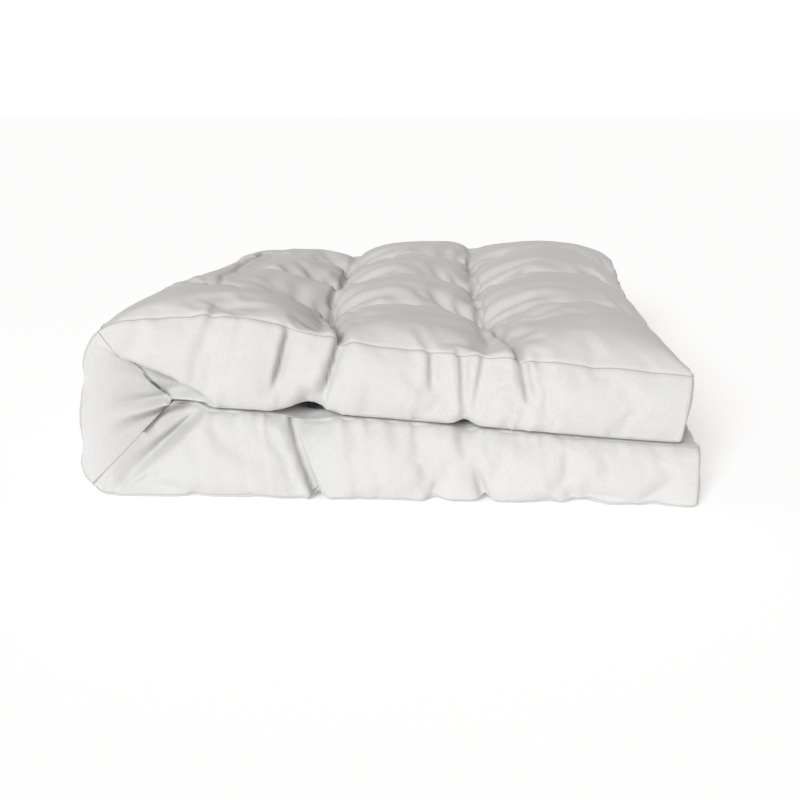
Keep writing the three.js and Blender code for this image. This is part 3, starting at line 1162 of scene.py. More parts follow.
@dataclass(frozen=True)
class Wrinkles:
    """Fine wrinkles of the cover.

    Attributes:
        ray_height: Of the wrinkles around a tuft.
        ray_reach: How far from a tuft they are highest.
        rays: Roughly how many go round a tuft.
        pucker_height: Of the wrinkles along a seam.
        pucker_pitch: From one to the next.
        drag_height: Of the long slanting wrinkles of a border.
        drag_pitch: From one to the next.
        row_crease: Depth of the creases from tuft to tuft.
        crease_width: Of those and of the gathers, at their bottoms.
        seed: Of their irregularity.
    """

    ray_height: float = 0.0026
    ray_reach: float = 0.052
    rays: int = 9
    pucker_height: float = 0.0026
    pucker_pitch: float = 0.016
    drag_height: float = 0.0020
    drag_pitch: float = 0.058
    row_crease: float = 0.020
    crease_width: float = 0.0047
    seed: int = 11

    def noise(self, at: Array, number: int) -> Array:
        """A smooth random curve between -1 and 1, read at positions a unit apart.

        Args:
            at: Positions.
            number: Which curve.

        Returns:
            Values.
        """
        table = np.random.default_rng(self.seed + number).uniform(-1.0, 1.0, 512)
        cell = np.floor(at).astype(int)
        part = smooth(at - cell)
        return table[cell % 512] * (1 - part) + table[(cell + 1) % 512] * part

    def around_tufts(self, along: Array, y: Array, layout: Layout) -> Array:
        """Height of the wrinkles that radiate from the tufts of a panel.

        Args:
            along: Distances along the panel.
            y: Distances across it.
            layout: Of the mattress.

        Returns:
            Heights.
        """
        total = np.zeros(len(along))
        for i, (row, share) in enumerate(zip(layout.rows, CoverSettings().row_shares)):
            for j, column in enumerate(layout.columns):
                dx, dy = along - row, y - column
                away = np.hypot(dx, dy)
                angle = np.arctan2(dy, dx)
                uneven = 1.4 * self.noise(angle * 1.3 + 40.0, 10 * i + j)
                wave = np.sin(self.rays * angle + uneven + 5.0 * away / self.ray_reach)
                sharp = np.sign(wave) * np.abs(wave) ** 0.8
                reach = self.ray_reach * (1.0 + 0.35 * self.noise(angle * 2.1 + 90.0, 50 + i - j))
                envelope = (away / reach) * np.exp(1.0 - away / reach) * smooth((away - 0.012) / 0.02)
                total += share * self.ray_height * sharp * envelope**2
        return total

    def on_rows(self, along: Array, y: Array, layout: Layout) -> Array:
        """Depth of the narrow creases that run from tuft to tuft along each row.

        Args:
            along: Distances along the panel.
            y: Distances across it.
            layout: Of the mattress.

        Returns:
            Heights, below zero.
        """
        total = np.zeros(len(along))
        shares = CoverSettings().row_shares
        for i, (row, share) in enumerate(zip(layout.rows, shares)):
            wander = 0.004 * self.noise(y / 0.05 + 30.0, 200 + i)
            nearest = np.min([np.abs(y - column) for column in layout.columns], axis=0)
            pull = 0.30 + 0.70 * np.exp(-nearest / 0.055)
            inside = smooth((max(layout.columns) + 0.10 - np.abs(y)) / 0.06)
            line = bump(along - row - wander, self.crease_width)
            total += share * self.row_crease * pull * inside * line
        return total

    def on_gathers(self, part: str, along: Array, past: Array) -> Array:
        """Height of the sharp bottoms and lips of a half's gathers.

        Args:
            part: The half.
            along: Distances along it.
            past: Distances inwards from the outer panel.

        Returns:
            Heights.
        """
        total = np.zeros(len(along))
        for gathered in (g for g in GATHERS if g.half == part):
            sunk, raised = gathered.amount(along, past, self.crease_width)
            total += 0.4 * gathered.depth * (0.45 * raised - sunk)
        return total

    def along_seams(self, along: Array, inward: Array, side: Side, part: str) -> Array:
        """Height of the wrinkles of a border, at shares of its depth from the outer seam.

        Args:
            along: Distances along the border.
            inward: Shares of its depth.
            side: Which border it is.
            part: The half.

        Returns:
            Heights.
        """
        number = 100 + 10 * len(part) + ord(part[0]) + int(side.value)
        lean = 0.020 * (inward - 0.5)
        first = (along + lean + 10.0) / self.pucker_pitch
        wave = 1.2 - 2.4 * np.abs(self.noise(first, number)) ** 0.8
        patchy = np.clip(0.5 + 0.9 * self.noise((along + 10.0) / 0.07, number + 1), 0.0, 1.0)
        short = np.exp(-inward / 0.22) + np.exp(-(1.0 - inward) / 0.24)
        puckers = self.pucker_height * wave * patchy * short
        slant = (along + 0.075 * inward + 10.0) / self.drag_pitch
        long = (0.9 - 1.8 * np.abs(self.noise(slant, number + 2))) * np.clip(
            0.4 + self.noise((along - 0.1 * inward + 10.0) / 0.16, number + 3), 0.0, 1.0
        )
        drags = self.drag_height * 1.4 * long * np.sin(math.pi * np.clip(inward, 0.02, 0.98)) ** 0.5
        return puckers + drags


WRINKLES = Wrinkles()


@dataclass
class FineSkin:
    """The skin subdivided once, with the normals of each family of pieces."""

    points: Array
    quads: Array
    owner: Array
    cloth: Array
    names: list[str]
    normals: dict[Family, Array]
    off_seam: Array

    @classmethod
    def subdivide(cls, points: Array, welded: Welded, groove: float) -> "FineSkin":
        """Subdivides the swollen skin, and draws its seams in.

        Args:
            points: The swollen skin.
            welded: Its faces.
            groove: How far a seam is drawn in, in metres.

        Returns:
            The fine skin.
        """
        obj = new_mesh("fine", points, welded.quads)
        mesh = obj.data
        mesh.polygons.foreach_set("material_index", welded.owner.astype(np.int32))
        layer = mesh.uv_layers.new(name=CLOTH_MAP)
        layer.data.foreach_set("uv", welded.cloth.reshape(-1).astype(np.float32))
        modifier = obj.modifiers.new("fine", "SUBSURF")
        modifier.levels = modifier.render_levels = 1
        graph = bpy.context.evaluated_depsgraph_get()
        done = bpy.data.meshes.new_from_object(obj.evaluated_get(graph))
        count = len(done.polygons)
        fine = np.empty(len(done.vertices) * 3)
        done.vertices.foreach_get("co", fine)
        quads = np.empty(count * 4, np.int32)
        done.loops.foreach_get("vertex_index", quads)
        owner = np.empty(count, np.int32)
        done.polygons.foreach_get("material_index", owner)
        cloth = np.empty(count * 8, np.float32)
        done.uv_layers[CLOTH_MAP].data.foreach_get("uv", cloth)
        bpy.data.objects.remove(obj, do_unlink=True)
        bpy.data.meshes.remove(done)
        skin = cls(
            fine.reshape(-1, 3),
            quads.reshape(-1, 4),
            owner,
            cloth.reshape(-1, 4, 2),
            welded.names,
            {},
            np.zeros(0),
        )
        skin.draw_seams_in(groove)
        return skin

    def shade(self) -> None:
        """Works the normals of each family of pieces out."""
        for family in Family:
            mine = [i for i, name in enumerate(self.names) if Family.of(name) is family]
            self.normals[family] = vertex_normals(self.points, self.quads[np.isin(self.owner, mine)])

    def snap_bands(self, builder: SkinBuilder) -> None:
        """Puts the edges of the bands exactly where the bodies take over.

        Args:
            builder: Of the skin.
        """
        bands = np.array(["crease" in name for name in self.names])[self.owner]
        for name, crease in builder.creases.items():
            mine = np.array([n.startswith(f"{name}_crease") for n in self.names])[self.owner]
            edge = np.intersect1d(np.unique(self.quads[mine]), np.unique(self.quads[~bands]))
            off = (self.points[edge][:, [0, 2]] - crease.hinge) @ crease.towards_fold
            wanted = np.where(off < 0, -builder.half_band, builder.half_band)
            self.points[edge[:, None], [[0, 2]]] += (wanted - off)[:, None] * crease.towards_fold

    def wrinkle(self, layout: Layout) -> None:
        """Adds the fine wrinkles that radiate from the tufts and pucker along the seams.

        Args:
            layout: Of the mattress.
        """
        normals = vertex_normals(self.points, self.quads)
        total = np.zeros(len(self.points))
        y = self.points[:, 1]
        for part in ("lower", "upper"):
            face = getattr(layout, part)
            local = self.points[:, [0, 2]] - face.origin
            along = local @ face.along
            panel = self._points_of(f"{part}_outer_panel")
            relief = WRINKLES.around_tufts(along, y, layout) - WRINKLES.on_rows(along, y, layout)
            relief = relief + WRINKLES.on_gathers(part, along, -(y + layout.half_width))
            total = np.where(panel, relief, total)
            for side in Side:
                border = self._points_of(f"{part}_{side.name.lower()}_border")
                depth = local @ face.inward
                share = np.clip(depth / layout.thickness_at(along), 0.0, 1.0)
                relief = WRINKLES.along_seams(along, share, side, part)
                if side is Side.FRONT:
                    relief = relief + WRINKLES.on_gathers(part, along, depth)
                total = np.where(border & ~panel, relief, total)
        free = smooth(self.points[:, 2] / 0.02) * ~self.in_bands()
        self.points += normals * (total * free)[:, None]
        self.points[:, 2] = np.maximum(self.points[:, 2], 0.0)

    def _points_of(self, patch: str) -> Array:
        """A mask of the points of a patch.

        Args:
            patch: Its number.

        Returns:
            The mask.
        """
        found = np.zeros(len(self.points), bool)
        found[np.unique(self.quads[self.faces_of((patch,))])] = True
        return found

    def draw_seams_in(self, groove: float) -> None:
        """Sinks the seams between the sewn pieces, and puffs the cloth beside them.

        Args:
            groove: Depth of a seam.
        """
        families = np.array([list(Family).index(Family.of(n)) for n in self.names])[self.owner]
        seen = np.zeros((len(self.points), len(Family)), bool)
        for number in range(len(Family)):
            seen[np.unique(self.quads[families == number]), number] = True
        seam = seen.sum(axis=1) > 1
        beside = np.zeros(len(self.points), bool)
        beside[np.unique(self.quads[seam[self.quads].any(axis=1)])] = True
        normals = vertex_normals(self.points, self.quads)
        free = ~self.in_bands()
        depth = np.where(beside & ~seam, 0.3, 0.0) - np.where(seam, 1.0, 0.0)
        self.points += normals * (depth * free * groove)[:, None]
        # Marks where the material paints shade into the seams: 0 at seams away from the inner panels, 1
        # elsewhere.
        inside = seen[:, list(Family).index(Family.INNER)]
        self.off_seam = np.where(seam & ~inside, 0.0, 1.0)

    def in_bands(self) -> Array:
        """A mask of the points of the bands at the creases.

        Returns:
            The mask.
        """
        bands = np.array(["crease" in name for name in self.names])[self.owner]
        found = np.zeros(len(self.points), bool)
        found[np.unique(self.quads[bands])] = True
        return found

    def step_lips(self, builder: SkinBuilder) -> None:
        """Steps the borders in at the lips of the creases, where the subdivided mesh can hold it.

        Args:
            builder: Of the skin.
        """
        lips, lay = builder.lips, builder.layout
        borders = np.zeros(len(self.points), bool)
        mine = [i for i, name in enumerate(self.names) if Family.of(name) is Family.BORDER]
        borders[np.unique(self.quads[np.isin(self.owner, mine)])] = True
        inside, _ = builder.inside_lips(self.points[:, [0, 2]], lips.step_softness)
        at = self.points[:, [0, 2]] - lay.lower.origin
        centre = np.array([lay.thickness, lay.thickness])
        along = np.clip(at[:, 0], lay.thickness, lips.upper_to[0])
        near = np.hypot(at[:, 0] - along, at[:, 1] - centre[1])
        step = lips.step * smooth((at[:, 0] - 0.02) / 0.08) * smooth((near - 0.004) / 0.011)
        edge = smooth((lay.half_width - np.abs(self.points[:, 1])) / 0.004 + 0.5)
        self.points[:, 1] -= np.sign(self.points[:, 1]) * borders * inside * step * edge

    def faces_of(self, patches: tuple[str, ...]) -> Array:
        """A mask of the faces of some patches."""
        wanted = [i for i, name in enumerate(self.names) if name in patches]
        return np.isin(self.owner, wanted)


def vertex_normals(points: Array, quads: Array) -> Array:
    """Area-weighted normals of the points of some faces.

    Args:
        points: Of the mesh.
        quads: Its faces.

    Returns:
        Unit normals.
    """
    corner = points[quads]
    flat = np.cross(corner[:, 2] - corner[:, 0], corner[:, 3] - corner[:, 1])
    total = np.zeros(points.shape)
    for k in range(4):
        np.add.at(total, quads[:, k], flat)
    return total / np.maximum(np.linalg.norm(total, axis=1, keepdims=True), 1e-12)


CLOTH_MAP = "cloth"
# Name of the attribute that marks where painted shade darkens the seams.
PAINTED_SHADE_MASK = "off_seam"


@dataclass(frozen=True)
class CoverPiece:
    """One sewn piece of the cover.

    Attributes:
        name: Of the piece.
        patches: Of the skin, that it is cut from.
        bodies: The body it rides on, or the two that meet at its crease.
        nodes: CAD nodes that it stands for.
    """

    name: str
    patches: tuple[str, ...]
    bodies: tuple[str, ...]
    nodes: tuple[str, ...]


class Cover:
    """The sewn cover, cut from the skin."""

    BODY = {"lower": "lower_half", "fold": "fold_section", "upper": "upper_half"}

    def __init__(self, skin: FineSkin, builder: SkinBuilder, material: bpy.types.Material) -> None:
        """Takes the skin that the pieces are cut from.

        Args:
            skin: The finished skin.
            builder: Of the skin.
            material: Of the cover.
        """
        self.skin = skin
        self.builder = builder
        self.material = material

    def pieces(self) -> list[CoverPiece]:
        """The pieces, named for the CAD nodes they stand for.

        Returns:
            The pieces.
        """
        found = []
        for half, body in self.BODY.items():
            labels = ["outer_panel", "inner_panel", "front_border", "back_border"]
            if half != "fold":
                labels.append("end_border")
            for label in labels:
                name = f"{half}_{label}"
                found.append(CoverPiece(f"cover_{name}", (name,), (body,), (name,)))
        for half in ("lower", "upper"):
            patches = tuple(f"{half}_crease_{part}" for part in ("outer", "front", "back", "inner"))
            bodies = (self.BODY[half], self.BODY["fold"])
            found.append(CoverPiece(f"cover_{half}_crease", patches, bodies, ()))
        return found

    def build(self) -> list[bpy.types.Object]:
        """Builds every piece, and attaches each one that rides on a single body."""
        return [self._build(piece) for piece in self.pieces()]

    def _build(self, piece: CoverPiece) -> bpy.types.Object:
        """Makes a piece, and attaches it if it rides on a single body.

        Args:
            piece: What to make.

        Returns:
            Its object.
        """
        obj = self._cut(piece)
        obj.data.materials.append(self.material)
        if len(piece.bodies) == 1:
            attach(obj, piece.bodies[0])
        else:
            crease = self._crease_of(piece)
            half = self.builder.half_band * self.builder.lips.turned_share
            start = crease.point(np.array(0.0), np.array(-half))
            end = crease.point(np.array(0.0), np.array(half))
            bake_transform(obj)
        if piece.nodes:
            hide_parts(*piece.nodes)
        LOG.info("%s on %s", obj.name, " and ".join(piece.bodies))
        return obj

    def _crease_of(self, piece: CoverPiece) -> Crease:
        """The crease that a bending piece lies along."""
        return self.builder.creases["lower" if "lower" in piece.name else "upper"]

    def _cut(self, piece: CoverPiece) -> bpy.types.Object:
        """Cuts a piece out of the skin, and gives it its thickness inwards.

        Args:
            piece: What to cut.

        Returns:
            Its object.
        """
        skin = self.skin
        chosen = skin.faces_of(piece.patches)
        quads, owner, cloth = skin.quads[chosen], skin.owner[chosen], skin.cloth[chosen]
        used, local = np.unique(quads, return_inverse=True)
        local = local.reshape(-1, 4)
        outer = skin.points[used]
        normal = vertex_normals(skin.points, quads)[used]
        bends = len(piece.bodies) > 1
        if bends:
            # The inside stays level with the outside across the crease.
            across = self._crease_of(piece).towards_fold
            normal[:, [0, 2]] -= (normal[:, [0, 2]] @ across)[:, None] * across
        inner = outer - normal * self.builder.set.thickness
        sides = np.stack([local, np.roll(local, -1, axis=1)], axis=-1).reshape(-1, 2)
        code = sides[:, 0] * len(used) + sides[:, 1]
        back = sides[:, 1] * len(used) + sides[:, 0]
        rim = sides[~np.isin(code, back)]
        count = len(used)
        rim_quads = np.stack([rim[:, 1], rim[:, 0], rim[:, 0] + count, rim[:, 1] + count], axis=1)
        faces = np.concatenate([local, local[:, ::-1] + count, rim_quads])
        obj = new_mesh(piece.name, np.concatenate([outer, inner]), faces)
        mesh = obj.data
        layer = mesh.uv_layers.new(name=CLOTH_MAP)
        rim_cloth = np.zeros((len(rim_quads), 4, 2))
        flat = np.concatenate([cloth, cloth[:, ::-1], rim_cloth])
        layer.data.foreach_set("uv", flat.reshape(-1).astype(np.float32))
        # The mask of the painted seam shade, read by the cover's material.
        seam = mesh.attributes.new(PAINTED_SHADE_MASK, "FLOAT", "POINT")
        seam.data.foreach_set("value", np.tile(skin.off_seam[used], 2).astype(np.float32))
        mesh.polygons.foreach_set("use_smooth", np.ones(len(faces), bool))
        if bends:
            return obj
        shading = np.empty((len(faces), 4, 3))
        shading[: len(local)] = self._shading(quads, owner)
        shading[len(local) : 2 * len(local)] = -normal[local[:, ::-1]]
        rims = np.concatenate([outer, inner])[rim_quads]
        across = np.cross(rims[:, 2] - rims[:, 0], rims[:, 3] - rims[:, 1])
        across = across / np.maximum(np.linalg.norm(across, axis=1, keepdims=True), 1e-12)
        shading[2 * len(local) :] = across[:, None]
        mesh.normals_split_custom_set(shading.reshape(-1, 3).tolist())
        return obj

    def _shading(self, quads: Array, owner: Array) -> Array:
        """Normals at the corners of a piece's faces, which are smooth within a family of patches.

        Args:
            quads: The faces.
            owner: The patch of each face.

        Returns:
            Three numbers for each of a face's four corners.
        """
        shading = np.empty((len(quads), 4, 3))
        for index in np.unique(owner):
            family = Family.of(self.skin.names[index])
            mine = owner == index
            shading[mine] = self.skin.normals[family][quads[mine]]
        return shading


class Stuffing:
    """The cotton layers inside each stretch of the mattress."""

    MARGIN = 0.16
    GAP = 0.006

    def __init__(self, points: Array, welded: Welded, material: bpy.types.Material) -> None:
        """Takes the skin that the cotton fills.

        Args:
            points: Of the swollen skin.
            welded: The skin that they belong to.
            material: Of the cotton.
        """
        self.points = points
        self.welded = welded
        self.material = material

    def build(self) -> None:
        """Builds every layer and rides it on its body."""
        for part, body in Cover.BODY.items():
            nodes = sorted(n for n in frame["nodes"] if n.startswith(f"{part}_cotton_layer"))
            for index, node in enumerate(nodes):
                obj = self._layer(part, node, index, len(nodes))
                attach(obj, body)
                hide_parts(node)
                LOG.info("%s on %s", obj.name, body)

    def _layer(self, part: str, node: str, index: int, count: int) -> bpy.types.Object:
        """Makes a layer, which follows the panels on both sides of it.

        Args:
            part: The stretch that it fills.
            node: Its CAD node.
            index: Its place from the outer panel.
            count: Of the layers of the stretch.

        Returns:
            Its object.
        """
        grids, points = self.welded.grids, self.points
        outer = points[grids[f"{part}_outer_panel"]]
        inner = points[grids[f"{part}_inner_panel"]]
        front = np.abs(points[grids[f"{part}_front_border"]][..., 1]).min(axis=1)
        back = np.abs(points[grids[f"{part}_back_border"]][..., 1]).min(axis=1)
        edge = np.minimum(np.abs(outer[:, 0, 1]), np.abs(outer[:, -1, 1]))
        share = (np.minimum(front, back) - self.GAP) / edge
        low = self.MARGIN + (1 - 2 * self.MARGIN) * index / count + 0.003
        high = self.MARGIN + (1 - 2 * self.MARGIN) * (index + 1) / count - 0.003
        # The cotton stands well back from a free end, where the cover is drawn in.
        keep_rows = self._every(outer.shape[0], 2)[1 : -1 if part == "fold" else -3]
        keep_columns = self._every(outer.shape[1], 2)
        sheets = []
        for t in (low, high):
            sheet = outer * (1 - t) + inner * t
            sheet[..., 1] = sheet[..., 1] * share[:, None]
            sheets.append(sheet[np.ix_(keep_rows, keep_columns)])
        rows, columns = sheets[0].shape[:2]
        verts = np.concatenate([sheet.reshape(-1, 3) for sheet in sheets])
        at = np.arange(rows * columns).reshape(rows, columns)
        top = corners_of(at[..., None])[..., 0]
        size = rows * columns
        loop = np.concatenate([at[0], at[1:, -1], at[-1, -2::-1], at[-2:0:-1, 0]])
        wall = np.stack([loop, np.roll(loop, -1), np.roll(loop, -1) + size, loop + size], axis=1)
        faces = np.concatenate([top[:, ::-1], top + size, wall])
        name = node.replace("cotton_layer", "cotton")
        obj = new_mesh(f"stuffing_{name}", verts, faces)
        work = bmesh.new()
        work.from_mesh(obj.data)
        bmesh.ops.recalc_face_normals(work, faces=work.faces)
        work.to_mesh(obj.data)
        work.free()
        obj.data.polygons.foreach_set("use_smooth", np.ones(len(faces), bool))
        obj.data.materials.append(self.material)
        return obj

    @staticmethod
    def _every(count: int, step: int) -> Array:
        """Every step-th index, and the last."""
        return np.unique(np.append(np.arange(0, count, step), count - 1))


# From the cover in to the middle of a knot.
KNOT_COVER = 0.0068


@dataclass(frozen=True)
class CordSettings:
    """Sizes of a tie's twisted cord."""

    strands: int = 3
    strand_radius: float = 0.0009
    twist_pitch: float = 0.011
    knot_radius: float = 0.0042


class TieMaker:
    """Makes the cord ties of the tufts, with one node group that twists and knots a cord."""

    def __init__(self, settings: CordSettings, material: bpy.types.Material) -> None:
        """Builds the node group.

        Args:
            settings: Of the cord.
            material: Of the cord.
        """
        self.settings = settings
        self.material = material
        self.group = self._twisted_cord()

    def _twisted_cord(self) -> bpy.types.NodeTree:
        """A group that turns a straight edge into a twisted cord with a knot at each end.

        Returns:
            The geometry node group.
        """
        group = bpy.data.node_groups.new("twisted_cord", "GeometryNodeTree")
        face = group.interface
        face.new_socket("Geometry", in_out="INPUT", socket_type="NodeSocketGeometry")
        face.new_socket("Strands", in_out="INPUT", socket_type="NodeSocketInt")
        face.new_socket("Strand radius", in_out="INPUT", socket_type="NodeSocketFloat")
        face.new_socket("Twist pitch", in_out="INPUT", socket_type="NodeSocketFloat")
        face.new_socket("Knot radius", in_out="INPUT", socket_type="NodeSocketFloat")
        face.new_socket("Material", in_out="INPUT", socket_type="NodeSocketMaterial")
        face.new_socket("Geometry", in_out="OUTPUT", socket_type="NodeSocketGeometry")
        n = Nodes(group)
        source = n.add("NodeGroupInput")
        curve = n.add("GeometryNodeMeshToCurve", Mesh=source.outputs["Geometry"])
        curve = n.add("GeometryNodeResampleCurve", Curve=curve.outputs["Curve"], Count=48)
        strands = n.add("GeometryNodeDuplicateElements", Geometry=curve.outputs["Curve"])
        strands.domain = "SPLINE"
        n.link(source.outputs["Strands"], strands.inputs["Amount"])
        along = n.add("GeometryNodeSplineParameter")
        turns = n.math("DIVIDE", along.outputs["Length"], source.outputs["Twist pitch"])
        start = n.math("DIVIDE", strands.outputs["Duplicate Index"], source.outputs["Strands"])
        angle = n.math("MULTIPLY", n.math("ADD", turns, start), math.tau)
        tangent = n.add("GeometryNodeInputTangent")
        normal = n.add("GeometryNodeInputNormal")
        cross = n.add("ShaderNodeVectorMath")
        cross.operation = "CROSS_PRODUCT"
        n.link(tangent.outputs["Tangent"], cross.inputs[0])
        n.link(normal.outputs["Normal"], cross.inputs[1])
        reach = n.math("MULTIPLY", source.outputs["Strand radius"], 1.1)
        one = n.scale(normal.outputs["Normal"], n.math("MULTIPLY", n.math("COSINE", angle), reach))
        two = n.scale(cross.outputs["Vector"], n.math("MULTIPLY", n.math("SINE", angle), reach))
        both = n.add("ShaderNodeVectorMath")
        n.link(one, both.inputs[0])
        n.link(two, both.inputs[1])
        moved = n.add("GeometryNodeSetPosition", Geometry=strands.outputs["Geometry"])
        n.link(both.outputs["Vector"], moved.inputs["Offset"])
        ring = n.add("GeometryNodeCurvePrimitiveCircle", Resolution=6)
        n.link(source.outputs["Strand radius"], ring.inputs["Radius"])
        swept = n.add("GeometryNodeCurveToMesh", Curve=moved.outputs["Geometry"])
        n.link(ring.outputs["Curve"], swept.inputs["Profile Curve"])
        swept.inputs["Fill Caps"].default_value = True
        ends = n.add("GeometryNodeCurveEndpointSelection")
        ball = n.add("GeometryNodeMeshIcoSphere", Subdivisions=3)
        n.link(source.outputs["Knot radius"], ball.inputs["Radius"])
        noise = n.add("ShaderNodeTexNoise", Scale=620.0)
        bumpy = n.add("GeometryNodeSetPosition", Geometry=ball.outputs["Mesh"])
        lump = n.math("MULTIPLY", n.math("SUBTRACT", noise.outputs[0], 0.5), 0.0022)
        own = n.add("GeometryNodeInputNormal")
        n.link(n.scale(own.outputs["Normal"], lump), bumpy.inputs["Offset"])
        knots = n.add("GeometryNodeInstanceOnPoints", Points=curve.outputs["Curve"])
        n.link(ends.outputs["Selection"], knots.inputs["Selection"])
        n.link(bumpy.outputs["Geometry"], knots.inputs["Instance"])
        both = n.add("GeometryNodeJoinGeometry")
        n.link(swept.outputs["Mesh"], both.inputs["Geometry"])
        n.link(knots.outputs["Instances"], both.inputs["Geometry"])
        real = n.add("GeometryNodeRealizeInstances", Geometry=both.outputs["Geometry"])
        painted = n.add("GeometryNodeSetMaterial", Geometry=real.outputs["Geometry"])
        n.link(source.outputs["Material"], painted.inputs["Material"])
        sink = n.add("NodeGroupOutput")
        n.link(painted.outputs["Geometry"], sink.inputs["Geometry"])
        return group

    def make(self, name: str, start: Array, stop: Array) -> bpy.types.Object:
        """Makes a cord tie.

        Args:
            name: Of the piece.
            start: Its outer end.
            stop: Its inner end.

        Returns:
            The finished mesh object.
        """
        mesh = bpy.data.meshes.new(name)
        mesh.from_pydata([tuple(start), tuple(stop)], [(0, 1)], [])
        obj = bpy.data.objects.new(name, mesh)
        bpy.context.scene.collection.objects.link(obj)
        modifier = obj.modifiers.new("cord", "NODES")
        modifier.node_group = self.group
        values = {
            "Strands": self.settings.strands,
            "Strand radius": self.settings.strand_radius,
            "Twist pitch": self.settings.twist_pitch,
            "Knot radius": self.settings.knot_radius,
            "Material": self.material,
        }
        for item in self.group.interface.items_tree:
            if item.in_out == "INPUT" and item.name in values:
                modifier[item.identifier] = values[item.name]
        graph = bpy.context.evaluated_depsgraph_get()
        done = bpy.data.meshes.new_from_object(obj.evaluated_get(graph))
        obj.modifiers.clear()
        obj.data = done
        done.name = name
        done.polygons.foreach_set("use_smooth", np.ones(len(done.polygons), bool))
        return obj


class Nodes:
    """Adds and links the nodes of one tree."""

    def __init__(self, tree: bpy.types.NodeTree) -> None:
        """Takes the tree that the nodes go in."""
        self.tree = tree

    def add(self, kind: str, **inputs: object) -> bpy.types.Node:
        """Adds a node, and sets or links its inputs by name.

        Args:
            kind: Its type.
            **inputs: Values or sockets, by the inputs' names.

        Returns:
            The node.
        """
        node = self.tree.nodes.new(kind)
        for name, value in inputs.items():
            socket = node.inputs[name]
            if isinstance(value, bpy.types.NodeSocket):
                self.link(value, socket)
            else:
                socket.default_value = value
        return node

    def link(self, source: bpy.types.NodeSocket, target: bpy.types.NodeSocket) -> None:
        """Links two sockets."""
        self.tree.links.new(source, target)

    def math(self, operation: str, first: object, second: object = None) -> bpy.types.NodeSocket:
        """A Math node's result, from sockets or numbers.

        Args:
            operation: What it does.
            first: A socket or a number.
            second: The other one, if it takes two.

        Returns:
            The result.
        """
        node = self.tree.nodes.new("ShaderNodeMath")
        node.operation = operation
        for socket, value in zip(node.inputs, (first, second)):
            if isinstance(value, bpy.types.NodeSocket):
                self.link(value, socket)
            elif value is not None:
                socket.default_value = value
        return node.outputs[0]

    def scale(self, vector: bpy.types.NodeSocket, by: bpy.types.NodeSocket) -> bpy.types.NodeSocket:
        """A vector times a number.

        Args:
            vector: The vector.
            by: The number.

        Returns:
            The result.
        """
        node = self.tree.nodes.new("ShaderNodeVectorMath")
        node.operation = "SCALE"
        self.link(vector, node.inputs[0])
        self.link(by, node.inputs["Scale"])
        return node.outputs["Vector"]


# ---------------------------------------------------------------------------------------------
# Materials
# ---------------------------------------------------------------------------------------------


@dataclass(frozen=True)
class FabricFinish:
    """A cotton fabric."""

    name: str
    color: tuple[float, float, float]
    fleck: tuple[float, float, float]
    weave_pitch: float
    weave_depth: float
    roughness: float
    sheen: float


# Colour of the painted shade in the clefts of the outer seams.
SEAM_PAINTED_SHADE = (0.20, 0.18, 0.15, 1.0)
COVER_TWILL = FabricFinish(
    "unbleached_twill", (0.576, 0.565, 0.551), (0.47, 0.42, 0.35), 0.0011, 0.00010, 0.92, 0.2
)
COTTON_FLEECE = FabricFinish(
    "carded_cotton", (0.66, 0.61, 0.52), (0.50, 0.40, 0.26), 0.004, 0.0006, 1.0, 0.4
)
WAXED_CORD = FabricFinish(
    "waxed_cord", (0.55, 0.52, 0.47), (0.42, 0.37, 0.30), 0.0008, 0.00006, 0.75, 0.1
)


